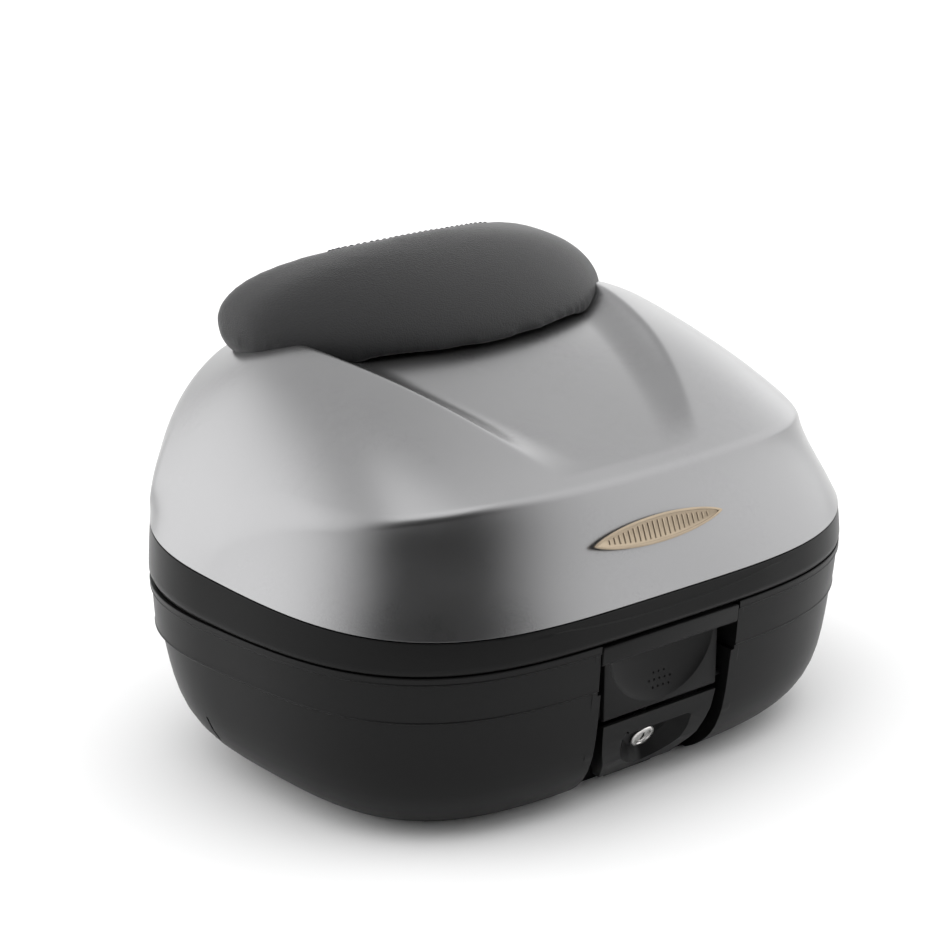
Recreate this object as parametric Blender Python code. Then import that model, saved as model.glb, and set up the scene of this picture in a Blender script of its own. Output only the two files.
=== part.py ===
"""Motorcycle top case: a plastic base tub, a hinged lid with a painted cover and a backrest pad,
a latch handle with a key lock, and the docking parts under the floor.

Frame: metres, +Z up, origin at the centre of the flat underside, -Y towards the latch, +Y towards
the hinges and the rider's back, X from side to side. The case is shown closed and locked.
"""
import math

import bmesh
import bpy
from mathutils import Matrix, Vector

# ---- plan outline: one superellipse for the hinge half and a squarer one for the latch half ----
HALF_WIDTH = 0.2857
HALF_DEPTH = 0.2092
HINGE_POWER = 2.37
LATCH_POWER = 3.91
TAPER = 0.132            # the case is wider towards the hinges
TAPER_CURVE = -0.042
PLAN_STEPS = 52

# ---- heights ----
PARTING_Z = 0.148
RIM_GAP = 0.0007         # half of the open joint between base and lid
WALL = 0.003
GAP = 0.0003             # clearance between touching pieces
LIP_INSET = 0.004        # raised lip of the base, which presses into the rim seal
LIP_WIDTH = 0.002
LIP_RISE = 0.006
SHELF_Z = PARTING_Z + 0.0106
RECESS_DETOUR = 0.0275   # the lip and seal step back behind the latch recess

# ---- lid ----
COVER_INSET = 0.0027
FLANK_TOP = 0.178        # height of the lid's middle over the parting line
CREST_DROP = 0.020       # depth of the sunken panel between the two crests
CREST_FADE = 0.038
CREST_START = -0.155
CREST_RUN = 0.15
TOP_RINGS = (0.91, 0.78, 0.62, 0.45, 0.28, 0.12)

# ---- latch ----
RECESS_HALF = 0.0686
RECESS_HALF_LOW = 0.0655
RECESS_STEP_Z = 0.105
RECESS_FLOOR = ((-0.1805, 0.152), (-0.1805, 0.080), (-0.163, 0.048), (-0.152, 0.014), (-0.150, -0.02))
HANDLE_HALF = 0.0672
FLAP_HALF = 0.0565
PIVOT_Y = -0.190
PIVOT_Z = 0.0815
PIN_RADIUS = 0.0025

# ---- lock ----
LOCK_CENTRE = Vector((0.0, -0.178, 0.0385))
LOCK_TILT = math.radians(27.0)
LOCK_IN = Vector((0.0, math.cos(LOCK_TILT), math.sin(LOCK_TILT)))
LOCK_UP = Vector((0.0, -math.sin(LOCK_TILT), math.cos(LOCK_TILT)))
BARREL_RADIUS = 0.0085
BEZEL_RADIUS = 0.0110
PLUG_RADIUS = 0.0068
CAM_REACH = 0.0335       # the cam's tip stands just under the foot of the latch handle

# ---- docking ----
SOCKET_X = 0.070         # the carrier's two hooks go in here
CATCH_LOW = 0.0037
CATCH_HIGH = 0.0089

# ---- hinges ----
HINGE_Y = 0.217
HINGE_X = 0.075
HINGE_HALF = 0.020
KNUCKLE_RADIUS = 0.0055
HINGE_PAD_Y = 0.2090

# ---- backrest pad ----
PAD_HALF = 0.173
PAD_DEPTH = 0.052
PAD_RISE = 0.069
PAD_CENTRE_Y = 0.066
PAD_CENTRE_Z = PARTING_Z + 0.1655
PAD_BOW = 0.068          # the ends reach forward of the middle
PAD_LEAN = 0.90          # the upper part leans towards the rider
PAD_LOWER = 0.0165
PAD_STEPS = 40

BLACK_PLASTIC = (0.018, 0.018, 0.020)
DARK_PLASTIC = (0.010, 0.010, 0.011)
SILVER_PAINT = (0.42, 0.42, 0.43)
NICKEL = (0.78, 0.77, 0.74)
STEEL = (0.55, 0.56, 0.58)
BRONZE = (0.52, 0.43, 0.33)
VINYL = (0.045, 0.045, 0.048)
RUBBER = (0.02, 0.02, 0.02)


# ---------------------------------------------------------------- scene helpers
def clear_scene():
    for item in list(bpy.data.objects):
        bpy.data.objects.remove(item, do_unlink=True)
    for spare in list(bpy.data.collections):
        bpy.data.collections.remove(spare)


def make_collection(name):
    collection = bpy.data.collections.new(name)
    bpy.context.scene.collection.children.link(collection)
    return collection


clear_scene()
CASE = make_collection("motorcycle_top_case")
CUTTERS = make_collection("cutters")


def plain_material(name, colour, roughness, metallic=0.0):
    material = bpy.data.materials.get(name)
    if material is None:
        material = bpy.data.materials.new(name)
        material.use_nodes = True
        shader = material.node_tree.nodes["Principled BSDF"]
        shader.inputs["Base Color"].default_value = (*colour, 1.0)
        shader.inputs["Roughness"].default_value = roughness
        shader.inputs["Metallic"].default_value = metallic
    return material


def object_from(bm, name):
    bmesh.ops.recalc_face_normals(bm, faces=bm.faces)
    if bm.calc_volume(signed=True) < 0:
        bmesh.ops.reverse_faces(bm, faces=bm.faces)
    mesh = bpy.data.meshes.new(name)
    bm.to_mesh(mesh)
    bm.free()
    item = bpy.data.objects.new(name, mesh)
    CASE.objects.link(item)
    return item


def finish(item, colour, roughness, metallic=0.0, sharp=35.0, parent=None):
    """Give a piece its own material and shading, and hang it on its joint's empty."""
    item.data.materials.clear()
    item.data.materials.append(plain_material(item.name, colour, roughness, metallic))
    item.data.shade_smooth()
    item.data.set_sharp_from_angle(angle=math.radians(sharp))
    if parent:
        item.parent = parent
        item.matrix_parent_inverse = parent.matrix_world.inverted()
    return item


def as_tool(item):
    for collection in list(item.users_collection):
        collection.objects.unlink(item)
    CUTTERS.objects.link(item)
    item.hide_render = True
    item.display_type = "WIRE"
    return item


def boolean(item, tool, operation):
    modifier = item.modifiers.new(f"{operation.lower()}_{tool.name}", "BOOLEAN")
    modifier.object = as_tool(tool)
    modifier.operation = operation
    modifier.solver = "EXACT"


def cut(item, *tools):
    for tool in tools:
        boolean(item, tool, "DIFFERENCE")


def join(item, *tools):
    for tool in tools:
        boolean(item, tool, "UNION")


def joint_empty(name, place):
    empty = bpy.data.objects.new(name, None)
    empty.empty_display_size = 0.03
    empty.location = place
    CASE.objects.link(empty)
    bpy.context.view_layer.update()
    return empty


# ---------------------------------------------------------------- solids
def ring_faces(bm, first, second):
    """Join two rings with triangles, split along the shorter diagonal of each cell."""
    count = len(first)
    for index in range(count):
        after = (index + 1) % count
        a, b, c, d = first[index], first[after], second[after], second[index]
        if (a.co - c.co).length <= (b.co - d.co).length:
            bm.faces.new((a, b, c))
            bm.faces.new((a, c, d))
        else:
            bm.faces.new((a, b, d))
            bm.faces.new((b, c, d))


def fan(bm, ring, centre):
    tip = bm.verts.new(centre)
    for index, vertex in enumerate(ring):
        bm.faces.new((vertex, ring[(index + 1) % len(ring)], tip))


def loft(name, rings, first_centre=None, last_centre=None, closed=False):
    """A closed skin over rings of equal count: its ends are fans, flat faces or each other."""
    bm = bmesh.new()
    rows = [[bm.verts.new(point) for point in ring] for ring in rings]
    for lower, upper in zip(rows, rows[1:]):
        ring_faces(bm, lower, upper)
    if closed:
        ring_faces(bm, rows[-1], rows[0])
    else:
        for row, centre in ((rows[0], first_centre), (rows[-1], last_centre)):
            if centre is None:
                bm.faces.new(row)
            else:
                fan(bm, row, centre)
    return object_from(bm, name)


def prism(name, outline, start, end, origin=Vector(), across=Vector((0, 1, 0)),
          up=Vector((0, 0, 1)), along=Vector((1, 0, 0))):
    """A flat outline, given in the across and up directions, swept from start to end."""
    bm = bmesh.new()
    face = bm.faces.new([bm.verts.new(origin + across * a + up * b + along * start)
                         for a, b in outline])
    swept = bmesh.ops.extrude_face_region(bm, geom=[face])
    moved = [element for element in swept["geom"] if isinstance(element, bmesh.types.BMVert)]
    bmesh.ops.translate(bm, verts=moved, vec=along * (end - start))
    return object_from(bm, name)


def box(name, low, high):
    bm = bmesh.new()
    bmesh.ops.create_cube(bm, size=1.0)
    low, high = Vector(low), Vector(high)
    size = high - low
    bmesh.ops.scale(bm, verts=bm.verts, vec=size)
    bmesh.ops.translate(bm, verts=bm.verts, vec=(low + high) / 2)
    return object_from(bm, name)


def rod(name, start, end, radius, sides=16):
    start, end = Vector(start), Vector(end)
    turn = Vector((0, 0, 1)).rotation_difference(end - start).to_matrix().to_4x4()
    bm = bmesh.new()
    bmesh.ops.create_cone(bm, cap_ends=True, segments=sides, radius1=radius, radius2=radius,
                          depth=(end - start).length,
                          matrix=Matrix.Translation((start + end) / 2) @ turn)
    return object_from(bm, name)


def turned(name, profile, origin, axis, sides=24):
    """A piece of revolution: (radius, distance along the axis) pairs from one end to the other."""
    turn = Vector((0, 0, 1)).rotation_difference(Vector(axis)).to_matrix()
    rings = []
    for radius, along in profile:
        rings.append([Vector(origin) + turn @ Vector((radius * math.cos(step * math.tau / sides),
                                                      radius * math.sin(step * math.tau / sides),
                                                      along)) for step in range(sides)])
    return loft(name, rings)


def screw(name, head_face, direction, length, radius=0.0016, head=0.0042, parent=None):
    """A pan-head screw: its head stands back from head_face, its shank runs along direction."""
    profile = ((head * 0.7, -0.0024), (head, -0.0012), (head, -GAP), (radius, -GAP),
               (radius, length - 0.0012), (radius * 0.5, length))
    item = turned(name, profile, head_face, direction, sides=8)
    return finish(item, STEEL, 0.35, 1.0, parent=parent)


def screw_hole(name, head_face, direction, length, radius=0.0016):
    start = Vector(head_face) - Vector(direction) * 0.004
    return rod(name, start, Vector(head_face) + Vector(direction) * length, radius + GAP, sides=8)


# ---------------------------------------------------------------- shape rules
def plan_point(angle, inset):
    cosine, sine = math.cos(angle), math.sin(angle)
    power = HINGE_POWER if sine >= 0 else LATCH_POWER
    y = (HALF_DEPTH - inset) * math.copysign(abs(sine) ** (2 / power), sine)
    x = (HALF_WIDTH - inset) * math.copysign(abs(cosine) ** (2 / power), cosine)
    along = y / HALF_DEPTH
    return x * (1 + TAPER * along + TAPER_CURVE * along * along), y


def even_angles(count, samples=3600):
    """Angles at which the outline's points are evenly spaced along it."""
    angles = [-math.pi / 2 + math.tau * step / samples for step in range(samples + 1)]
    points = [plan_point(angle, 0.0) for angle in angles]
    lengths = [0.0]
    for before, after in zip(points, points[1:]):
        lengths.append(lengths[-1] + math.dist(before, after))
    chosen, place = [], 0
    for step in range(count):
        wanted = lengths[-1] * step / count
        while lengths[place + 1] < wanted:
            place += 1
        part = (wanted - lengths[place]) / (lengths[place + 1] - lengths[place])
        chosen.append(angles[place] + part * (angles[place + 1] - angles[place]))
    return chosen


ANGLES = even_angles(PLAN_STEPS)


def ease(value):
    value = min(max(value, 0.0), 1.0)
    return value * value * (3 - 2 * value)


def recess_detour(x, y):
    """How far the lip and the seal step inwards, behind the latch recess."""
    return RECESS_DETOUR * ease((0.108 - abs(x)) / 0.030) if y < 0 else 0.0


def ring_at(inset, height, detour=False):
    ring = []
    for angle in ANGLES:
        x, y = plan_point(angle, inset)
        if detour:
            x, y = plan_point(angle, inset + recess_detour(x, y))
        ring.append(Vector((x, y, height(x, y) if callable(height) else height)))
    return ring


def base_inset(fall, y):
    """Inset of the tub's outer skin where fall runs from 0 at the rim to 1 at the underside."""
    inset = 0.0174 * fall + 0.0475 * fall ** 6.5 + 0.0019 * (1 - math.sqrt(max(0, 1 - fall ** 4.3)))
    return inset * (1 + 0.2155 * y / HALF_DEPTH)


def base_ring(fall, z, thickness=0.0, extra=0.0):
    ring = []
    for angle in ANGLES:
        inset = base_inset(fall, plan_point(angle, 0.0)[1]) + thickness + extra
        ring.append(Vector((*plan_point(angle, inset), z)))
    return ring


def cover_edge(x, y):
    """Height of the painted cover's lower edge, which climbs towards the hinges."""
    return PARTING_Z + 0.0381 + 0.0744 * y + 0.0577 * y * y


def flank(x, y):
    return (PARTING_Z + FLANK_TOP + 0.2064 * y - 1.32 * y * y - 0.356 * y ** 3
            - 0.1383 * x * x - 1.536 * x * x * y - 18.86 * x ** 4)


def crest_x(y):
    return 0.1316 + 0.282 * y - 0.824 * y * y


def lid_top(x, y):
    """The flanks of the lid, with the panel between the crests sunk below them."""
    fall = 1 - (1 - min(max((y - CREST_START) / CREST_RUN, 0.0), 1.0)) ** 2
    inside = min(max((crest_x(y) - abs(x)) / CREST_FADE, 0.0), 1.0)
    return flank(x, y) - CREST_DROP * fall * (1 - (1 - inside) ** 2)


def wall_lean(y):
    """Inset of the lid's wall at 0.1 over the parting line."""
    u = y / HALF_DEPTH + 1
    return max(COVER_INSET + 0.001, 0.0341 + 0.0227 * u - 0.0285 * u * u)


def lid_normal(x, y, step=0.004):
    slope_x = (lid_top(x + step, y) - lid_top(x - step, y)) / (2 * step)
    slope_y = (lid_top(x, y + step) - lid_top(x, y - step)) / (2 * step)
    return Vector((-slope_x, -slope_y, 1.0)).normalized()


def crease_inset(angle):
    """Where the leaning wall meets the top, found by halving."""
    low, high = COVER_INSET, 0.12
    for _ in range(30):
        middle = (low + high) / 2
        x, y = plan_point(angle, middle)
        bottom = cover_edge(x, y)
        slope = (PARTING_Z + 0.1 - bottom) / (wall_lean(y) - COVER_INSET)
        if bottom + (middle - COVER_INSET) * slope > flank(x, y):
            high = middle
        else:
            low = middle
    return (low + high) / 2


CREASES = [crease_inset(angle) for angle in ANGLES]


def lid_skin(offset, bottom_inset, bottom_rise):
    """Rings of a surface under the lid's outer skin: a wall ring or two, the crease and the top."""
    rings = []
    for part in (0.0, 0.5):
        ring = []
        for angle, crease in zip(ANGLES, CREASES):
            inset = bottom_inset + part * (crease + offset - bottom_inset)
            x, y = plan_point(angle, inset)
            low = cover_edge(x, y) + bottom_rise
            high = max(lid_top(*plan_point(angle, crease + offset)) - offset * 1.1, low + 0.0015)
            ring.append(Vector((x, y, low + part * (high - low))))
        rings.append(ring)
    for scale in (1.0,) + TOP_RINGS:
        ring = []
        for angle, crease in zip(ANGLES, CREASES):
            x, y = plan_point(angle, crease + offset)
            x, y = x * scale, y * scale
            lowest = cover_edge(x, y) + 0.0015 if scale == 1.0 else 0.0
            ring.append(Vector((x, y, max(lid_top(x, y) - offset * 1.1, lowest))))
        rings.append(ring)
    centre = Vector((0.0, 0.0, lid_top(0.0, 0.0) - offset * 1.1))
    return rings, centre


# ---------------------------------------------------------------- base
def recess_cutters():
    back, clear = list(RECESS_FLOOR), -0.26
    low = prism("recess_low", [(clear, back[-1][1]), (clear, back[0][1])] + back,
                -RECESS_HALF_LOW, RECESS_HALF_LOW)
    high = prism("recess_high", [(clear, RECESS_STEP_Z), (clear, back[0][1]), back[0],
                                 (back[1][0], RECESS_STEP_Z)], -RECESS_HALF, RECESS_HALF)
    return low, high


def recess_housing():
    outline = ((-0.2077, 0.146), (-0.1775, 0.146), (-0.1775, 0.0810), (-0.1597, 0.0490),
               (-0.1490, 0.0145), (-0.1470, 0.0015), (-0.1550, 0.0015), (-0.1630, 0.0050),
               (-0.1805, 0.0200), (-0.1960, 0.0500), (-0.2033, 0.1000))
    return prism("recess_housing", outline, -0.0736, 0.0736)


def hinge_wall_y(x, inset):
    """The y of the hinge-side wall at a given x, found by halving the plan angle."""
    low, high = 0.0, math.pi / 2
    for _ in range(30):
        middle = (low + high) / 2
        if plan_point(middle, inset)[0] > x:
            low = middle
        else:
            high = middle
    return plan_point(low, inset)[1]


def hinge_pad(side, low, high, name):
    """A flat seat for a hinge leaf, built up on the curved wall."""
    start, width, steps = HINGE_X - HINGE_HALF - 0.003, 2 * HINGE_HALF + 0.006, 4
    columns = [start + width * step / steps for step in range(steps + 1)]
    outline = [(side * x, hinge_wall_y(x, 0.0020)) for x in columns]
    outline += [(side * columns[-1], HINGE_PAD_Y), (side * columns[0], HINGE_PAD_Y)]
    return prism(name, outline, low, high, Vector(), Vector((1, 0, 0)), Vector((0, 1, 0)),
                 Vector((0, 0, 1)))


def make_base_shell():
    rim = PARTING_Z - RIM_GAP
    step = 0.109
    rings = []
    for fall in (1.0, 0.965, 0.91, 0.83, 0.70, 0.50):
        rings.append(base_ring(fall, rim * (1 - fall), extra=0.0005))
    rings.append(base_ring(1 - step / rim, step, extra=0.0005))
    rings.append(base_ring(1 - (step + 0.0006) / rim, step + 0.0006))
    rings.append(base_ring(0.0, rim))
    rings.append(ring_at(LIP_INSET, rim, detour=True))
    rings.append(ring_at(LIP_INSET, PARTING_Z + LIP_RISE, detour=True))
    rings.append(ring_at(LIP_INSET + LIP_WIDTH, PARTING_Z + LIP_RISE, detour=True))
    rings.append(ring_at(LIP_INSET + LIP_WIDTH, rim - 0.003, detour=True))
    rings.append(base_ring(0.09, rim * 0.91, thickness=WALL))
    for fall in (0.27, 0.50, 0.70, 0.83, 0.91, 0.965):
        rings.append(base_ring(fall, max(rim * (1 - fall), WALL + 0.001), thickness=WALL + 0.0005))
    rings.append(base_ring(1.0, WALL, thickness=WALL))
    shell = loft("base_shell", rings, Vector((0, 0, 0)), Vector((0, 0, WALL)))

    join(shell, recess_housing(),
         box("catch_housing", (-0.027, -0.158, 0.0015), (0.027, -0.056, 0.0170)))
    for side, name in ((-1, "left"), (1, "right")):
        socket = box(f"socket_housing_{name}", (side * SOCKET_X - 0.024, 0.084, 0.0015),
                     (side * SOCKET_X + 0.024, 0.126, 0.0170))
        join(shell, socket, hinge_pad(side, 0.116, rim, f"base_pad_{name}"))
    cut(shell, *recess_cutters())
    cut(shell, rod("pin_bore", (-0.0710, PIVOT_Y, PIVOT_Z), (0.0710, PIVOT_Y, PIVOT_Z),
                   PIN_RADIUS + GAP))
    cut(shell, box("catch_pocket", (-0.023, -0.100, -0.01), (0.023, -0.062, 0.0130)),
        box("catch_channel", (-0.0165, -0.170, CATCH_LOW - 0.0004), (0.0165, -0.095, CATCH_HIGH + 0.0004)))
    for side, name in ((-1, "left"), (1, "right")):
        cut(shell, box(f"socket_pocket_{name}", (side * SOCKET_X - 0.019, 0.089, -0.01),
                       (side * SOCKET_X + 0.019, 0.121, 0.0130)))
        cut(shell, screw_hole(f"panel_bore_{name}", panel_screw_face(side), (0, -1, 0), 0.02))
        for x in (HINGE_X - 0.011, HINGE_X + 0.011):
            cut(shell, screw_hole(f"base_hinge_bore_{name}_{x:.3f}", (side * x, 0.212, 0.129),
                                  (0, -1, 0), 0.02))
    finish(shell, BLACK_PLASTIC, 0.42)


def make_floor_mat():
    outline_inset = 0.084
    rings = [ring_at(outline_inset, WALL + 0.0004), ring_at(outline_inset, WALL + 0.0024)]
    mat = loft("floor_mat", rings)
    cut(mat, box("mat_gap_catch", (-0.029, -0.170, 0), (0.029, -0.054, 0.02)))
    for side, name in ((-1, "left"), (1, "right")):
        cut(mat, box(f"mat_gap_{name}", (side * SOCKET_X - 0.026, 0.082, 0),
                     (side * SOCKET_X + 0.026, 0.128, 0.02)))
    finish(mat, RUBBER, 0.8)


# ---------------------------------------------------------------- latch and lock
def panel_screw_face(side):
    return side * 0.040, -0.1530, 0.036


def make_lock_panel():
    levels = ((0.0722, 0.0565, -0.1975, -0.1940), (0.0640, 0.0560, -0.1960, -0.1848),
              (0.0550, 0.0550, -0.1945, -0.1802), (0.0330, 0.0480, -0.1870, -0.1690),
              (0.0190, 0.0405, -0.1760, -0.1620), (0.0105, 0.0360, -0.1685, -0.1580))
    rings = [[Vector((-half, front, z)), Vector((half, front, z)), Vector((half, back, z)),
              Vector((-half, back, z))] for z, half, front, back in levels]
    panel = loft("lock_panel", rings)
    shield = ((-0.034, 0.0245), (-0.031, 0.008), (-0.0245, -0.004), (-0.0135, -0.0175),
              (0.0, -0.0250), (0.0135, -0.0175), (0.0245, -0.004), (0.031, 0.008), (0.034, 0.0245))
    hollow = prism("shield_hollow", shield, -0.04, 0.0025, LOCK_CENTRE,
                   Vector((1, 0, 0)), LOCK_UP, LOCK_IN)
    for side, name in ((-1, "left"), (1, "right")):
        join(panel, rod(f"panel_post_{name}", (side * 0.040, -0.178, 0.036),
                        (side * 0.040, -0.1610, 0.036), 0.0042, sides=16))
        cut(panel, screw_hole(f"panel_thread_{name}", panel_screw_face(side), (0, -1, 0), 0.020))
    cut(panel, hollow, rod("barrel_bore", LOCK_CENTRE - LOCK_IN * 0.01, LOCK_CENTRE + LOCK_IN * 0.02,
                           BARREL_RADIUS + GAP, sides=28))
    finish(panel, BLACK_PLASTIC, 0.45)
    for side, name in ((-1, "left"), (1, "right")):
        screw(f"lock_panel_screw_{name}", panel_screw_face(side), (0, -1, 0), 0.0185)


def make_lock(lock_joint):
    barrel = turned("lock_barrel", ((BEZEL_RADIUS - 0.0008, 0.0), (BEZEL_RADIUS, 0.0008),
                                    (BEZEL_RADIUS, 0.0022), (BARREL_RADIUS, 0.0022),
                                    (BARREL_RADIUS, 0.0120)), LOCK_CENTRE, LOCK_IN, sides=28)
    cut(barrel, rod("plug_bore", LOCK_CENTRE - LOCK_IN * 0.01, LOCK_CENTRE + LOCK_IN * 0.02,
                    PLUG_RADIUS + GAP, sides=28))
    finish(barrel, NICKEL, 0.25, 1.0)

    plug = turned("lock_plug", ((PLUG_RADIUS - 0.0004, 0.0004), (PLUG_RADIUS, 0.0008),
                                (PLUG_RADIUS, 0.0119), (0.0027, 0.0119), (0.0027, 0.0148)),
                  LOCK_CENTRE, LOCK_IN, sides=28)
    slot = prism("key_slot", ((-0.0008, -0.0036), (0.0008, -0.0036), (0.0008, 0.0036), (-0.0008, 0.0036)),
                 -0.002, 0.0062, LOCK_CENTRE, Vector((1, 0, 0)), LOCK_UP, LOCK_IN)
    cut(plug, slot)
    finish(plug, NICKEL, 0.22, 1.0, parent=lock_joint)

    steps = 12
    outline = [(0.0062 * math.cos(math.pi + math.pi * step / steps),
                0.0062 * math.sin(math.pi + math.pi * step / steps)) for step in range(steps + 1)]
    outline += [(0.0035, CAM_REACH), (-0.0035, CAM_REACH)]
    cam = prism("lock_cam", outline, 0.0124, 0.0140, LOCK_CENTRE, Vector((1, 0, 0)), LOCK_UP, LOCK_IN)
    cut(cam, rod("cam_bore", LOCK_CENTRE + LOCK_IN * 0.010, LOCK_CENTRE + LOCK_IN * 0.017, 0.0030))
    finish(cam, STEEL, 0.35, 1.0, parent=lock_joint)

    nut = rod("lock_nut", LOCK_CENTRE + LOCK_IN * 0.0060, LOCK_CENTRE + LOCK_IN * 0.0086, 0.0120, sides=6)
    cut(nut, rod("nut_bore", LOCK_CENTRE, LOCK_CENTRE + LOCK_IN * 0.015, BARREL_RADIUS + GAP, sides=28))
    finish(nut, STEEL, 0.35, 1.0)


def scoop_cutter():
    bm = bmesh.new()
    bmesh.ops.create_uvsphere(bm, u_segments=32, v_segments=20, radius=1.0)
    bmesh.ops.scale(bm, verts=bm.verts, vec=(0.0535, 0.0115, 0.0500))
    bmesh.ops.translate(bm, verts=bm.verts, vec=(0.0, -0.1995, 0.1296))
    return object_from(bm, "finger_scoop")


def make_handle(handle_joint):
    flap_outline = ((-0.1972, 0.0775), (-0.1970, 0.1315), (-0.1850, 0.1315), (-0.1850, 0.0790),
                    (-0.1880, 0.0760), (-0.1955, 0.0758))
    ledge_outline = ((-0.2062, 0.1298), (-0.2078, 0.1315), (-0.2089, 0.1442), (-0.2080, 0.1452),
                     (-0.1985, 0.1452), (-0.1985, 0.1345), (-0.1900, 0.1345), (-0.1900, 0.1298))
    handle = prism("latch_handle", flap_outline, -FLAP_HALF, FLAP_HALF)
    cut(handle, scoop_cutter())
    join(handle, prism("handle_ledge", ledge_outline, -HANDLE_HALF, HANDLE_HALF),
         box("handle_hook", (-0.018, -0.1990, 0.1425), (0.018, -0.1935, 0.1450)))
    cut(handle, rod("handle_bore", (-0.08, PIVOT_Y, PIVOT_Z), (0.08, PIVOT_Y, PIVOT_Z), PIN_RADIUS + GAP))
    finish(handle, BLACK_PLASTIC, 0.42, parent=handle_joint)

    pin = rod("handle_pivot_pin", (-0.0705, PIVOT_Y, PIVOT_Z), (0.0705, PIVOT_Y, PIVOT_Z), PIN_RADIUS)
    finish(pin, STEEL, 0.3, 1.0)
    make_handle_spring()


def make_handle_spring():
    """Torsion coil round the pivot pin, with one leg up the recess and one down."""
    turns, per_turn, coil, wire = 3.5, 10, 0.0041, 0.0005
    start_x, pitch = -0.0640, 0.0016
    points = [Vector((start_x, PIVOT_Y + coil, PIVOT_Z + 0.013))]
    for step in range(int(turns * per_turn) + 1):
        angle = step / per_turn * math.tau
        points.append(Vector((start_x + pitch * step / per_turn, PIVOT_Y + coil * math.cos(angle),
                              PIVOT_Z - coil * math.sin(angle))))
    points.append(points[-1] + Vector((0.0, 0.0, 0.011)))
    curve = bpy.data.curves.new("handle_spring", "CURVE")
    curve.dimensions = "3D"
    curve.bevel_depth = wire
    curve.bevel_resolution = 1
    curve.use_fill_caps = True
    spline = curve.splines.new("POLY")
    spline.points.add(len(points) - 1)
    for point, place in zip(spline.points, points):
        point.co = (*place, 1.0)
    guide = bpy.data.objects.new("handle_spring_path", curve)
    CASE.objects.link(guide)
    bpy.context.view_layer.update()
    mesh = bpy.data.meshes.new_from_object(guide.evaluated_get(bpy.context.evaluated_depsgraph_get()))
    bm = bmesh.new()
    bm.from_mesh(mesh)
    bmesh.ops.remove_doubles(bm, verts=bm.verts, dist=1e-5)
    bpy.data.objects.remove(guide, do_unlink=True)
    spring = object_from(bm, "handle_spring")
    finish(spring, STEEL, 0.3, 1.0)


def make_dock_catch(catch_joint):
    """Tongue that locks the case on its carrier, with a pull tab under the lock panel."""
    outline = ((-0.0160, -0.1522), (-0.0160, -0.0920), (-0.0110, -0.0860), (0.0110, -0.0860),
               (0.0160, -0.0920), (0.0160, -0.1522), (0.0240, -0.1522), (0.0240, -0.1600),
               (-0.0240, -0.1600), (-0.0240, -0.1522))
    catch = prism("dock_catch", outline, CATCH_LOW, CATCH_HIGH, Vector(), Vector((1, 0, 0)),
                  Vector((0, 1, 0)), Vector((0, 0, 1)))
    finish(catch, DARK_PLASTIC, 0.5, parent=catch_joint)
    for side, name in ((-1, "left"), (1, "right")):
        keeper = box(f"dock_keeper_{name}", (side * SOCKET_X - 0.0187, 0.0893, 0.0006),
                     (side * SOCKET_X + 0.0187, 0.0985, 0.0028))
        finish(keeper, STEEL, 0.35, 1.0)


# ---------------------------------------------------------------- lid
def cover_screw_places():
    return [(side * x, y) for side in (-1, 1) for x, y in ((0.165, -0.060), (0.175, 0.075))]


def backrest_screw_places():
    return [(-0.095, 0.095), (0.095, 0.095)]


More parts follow.
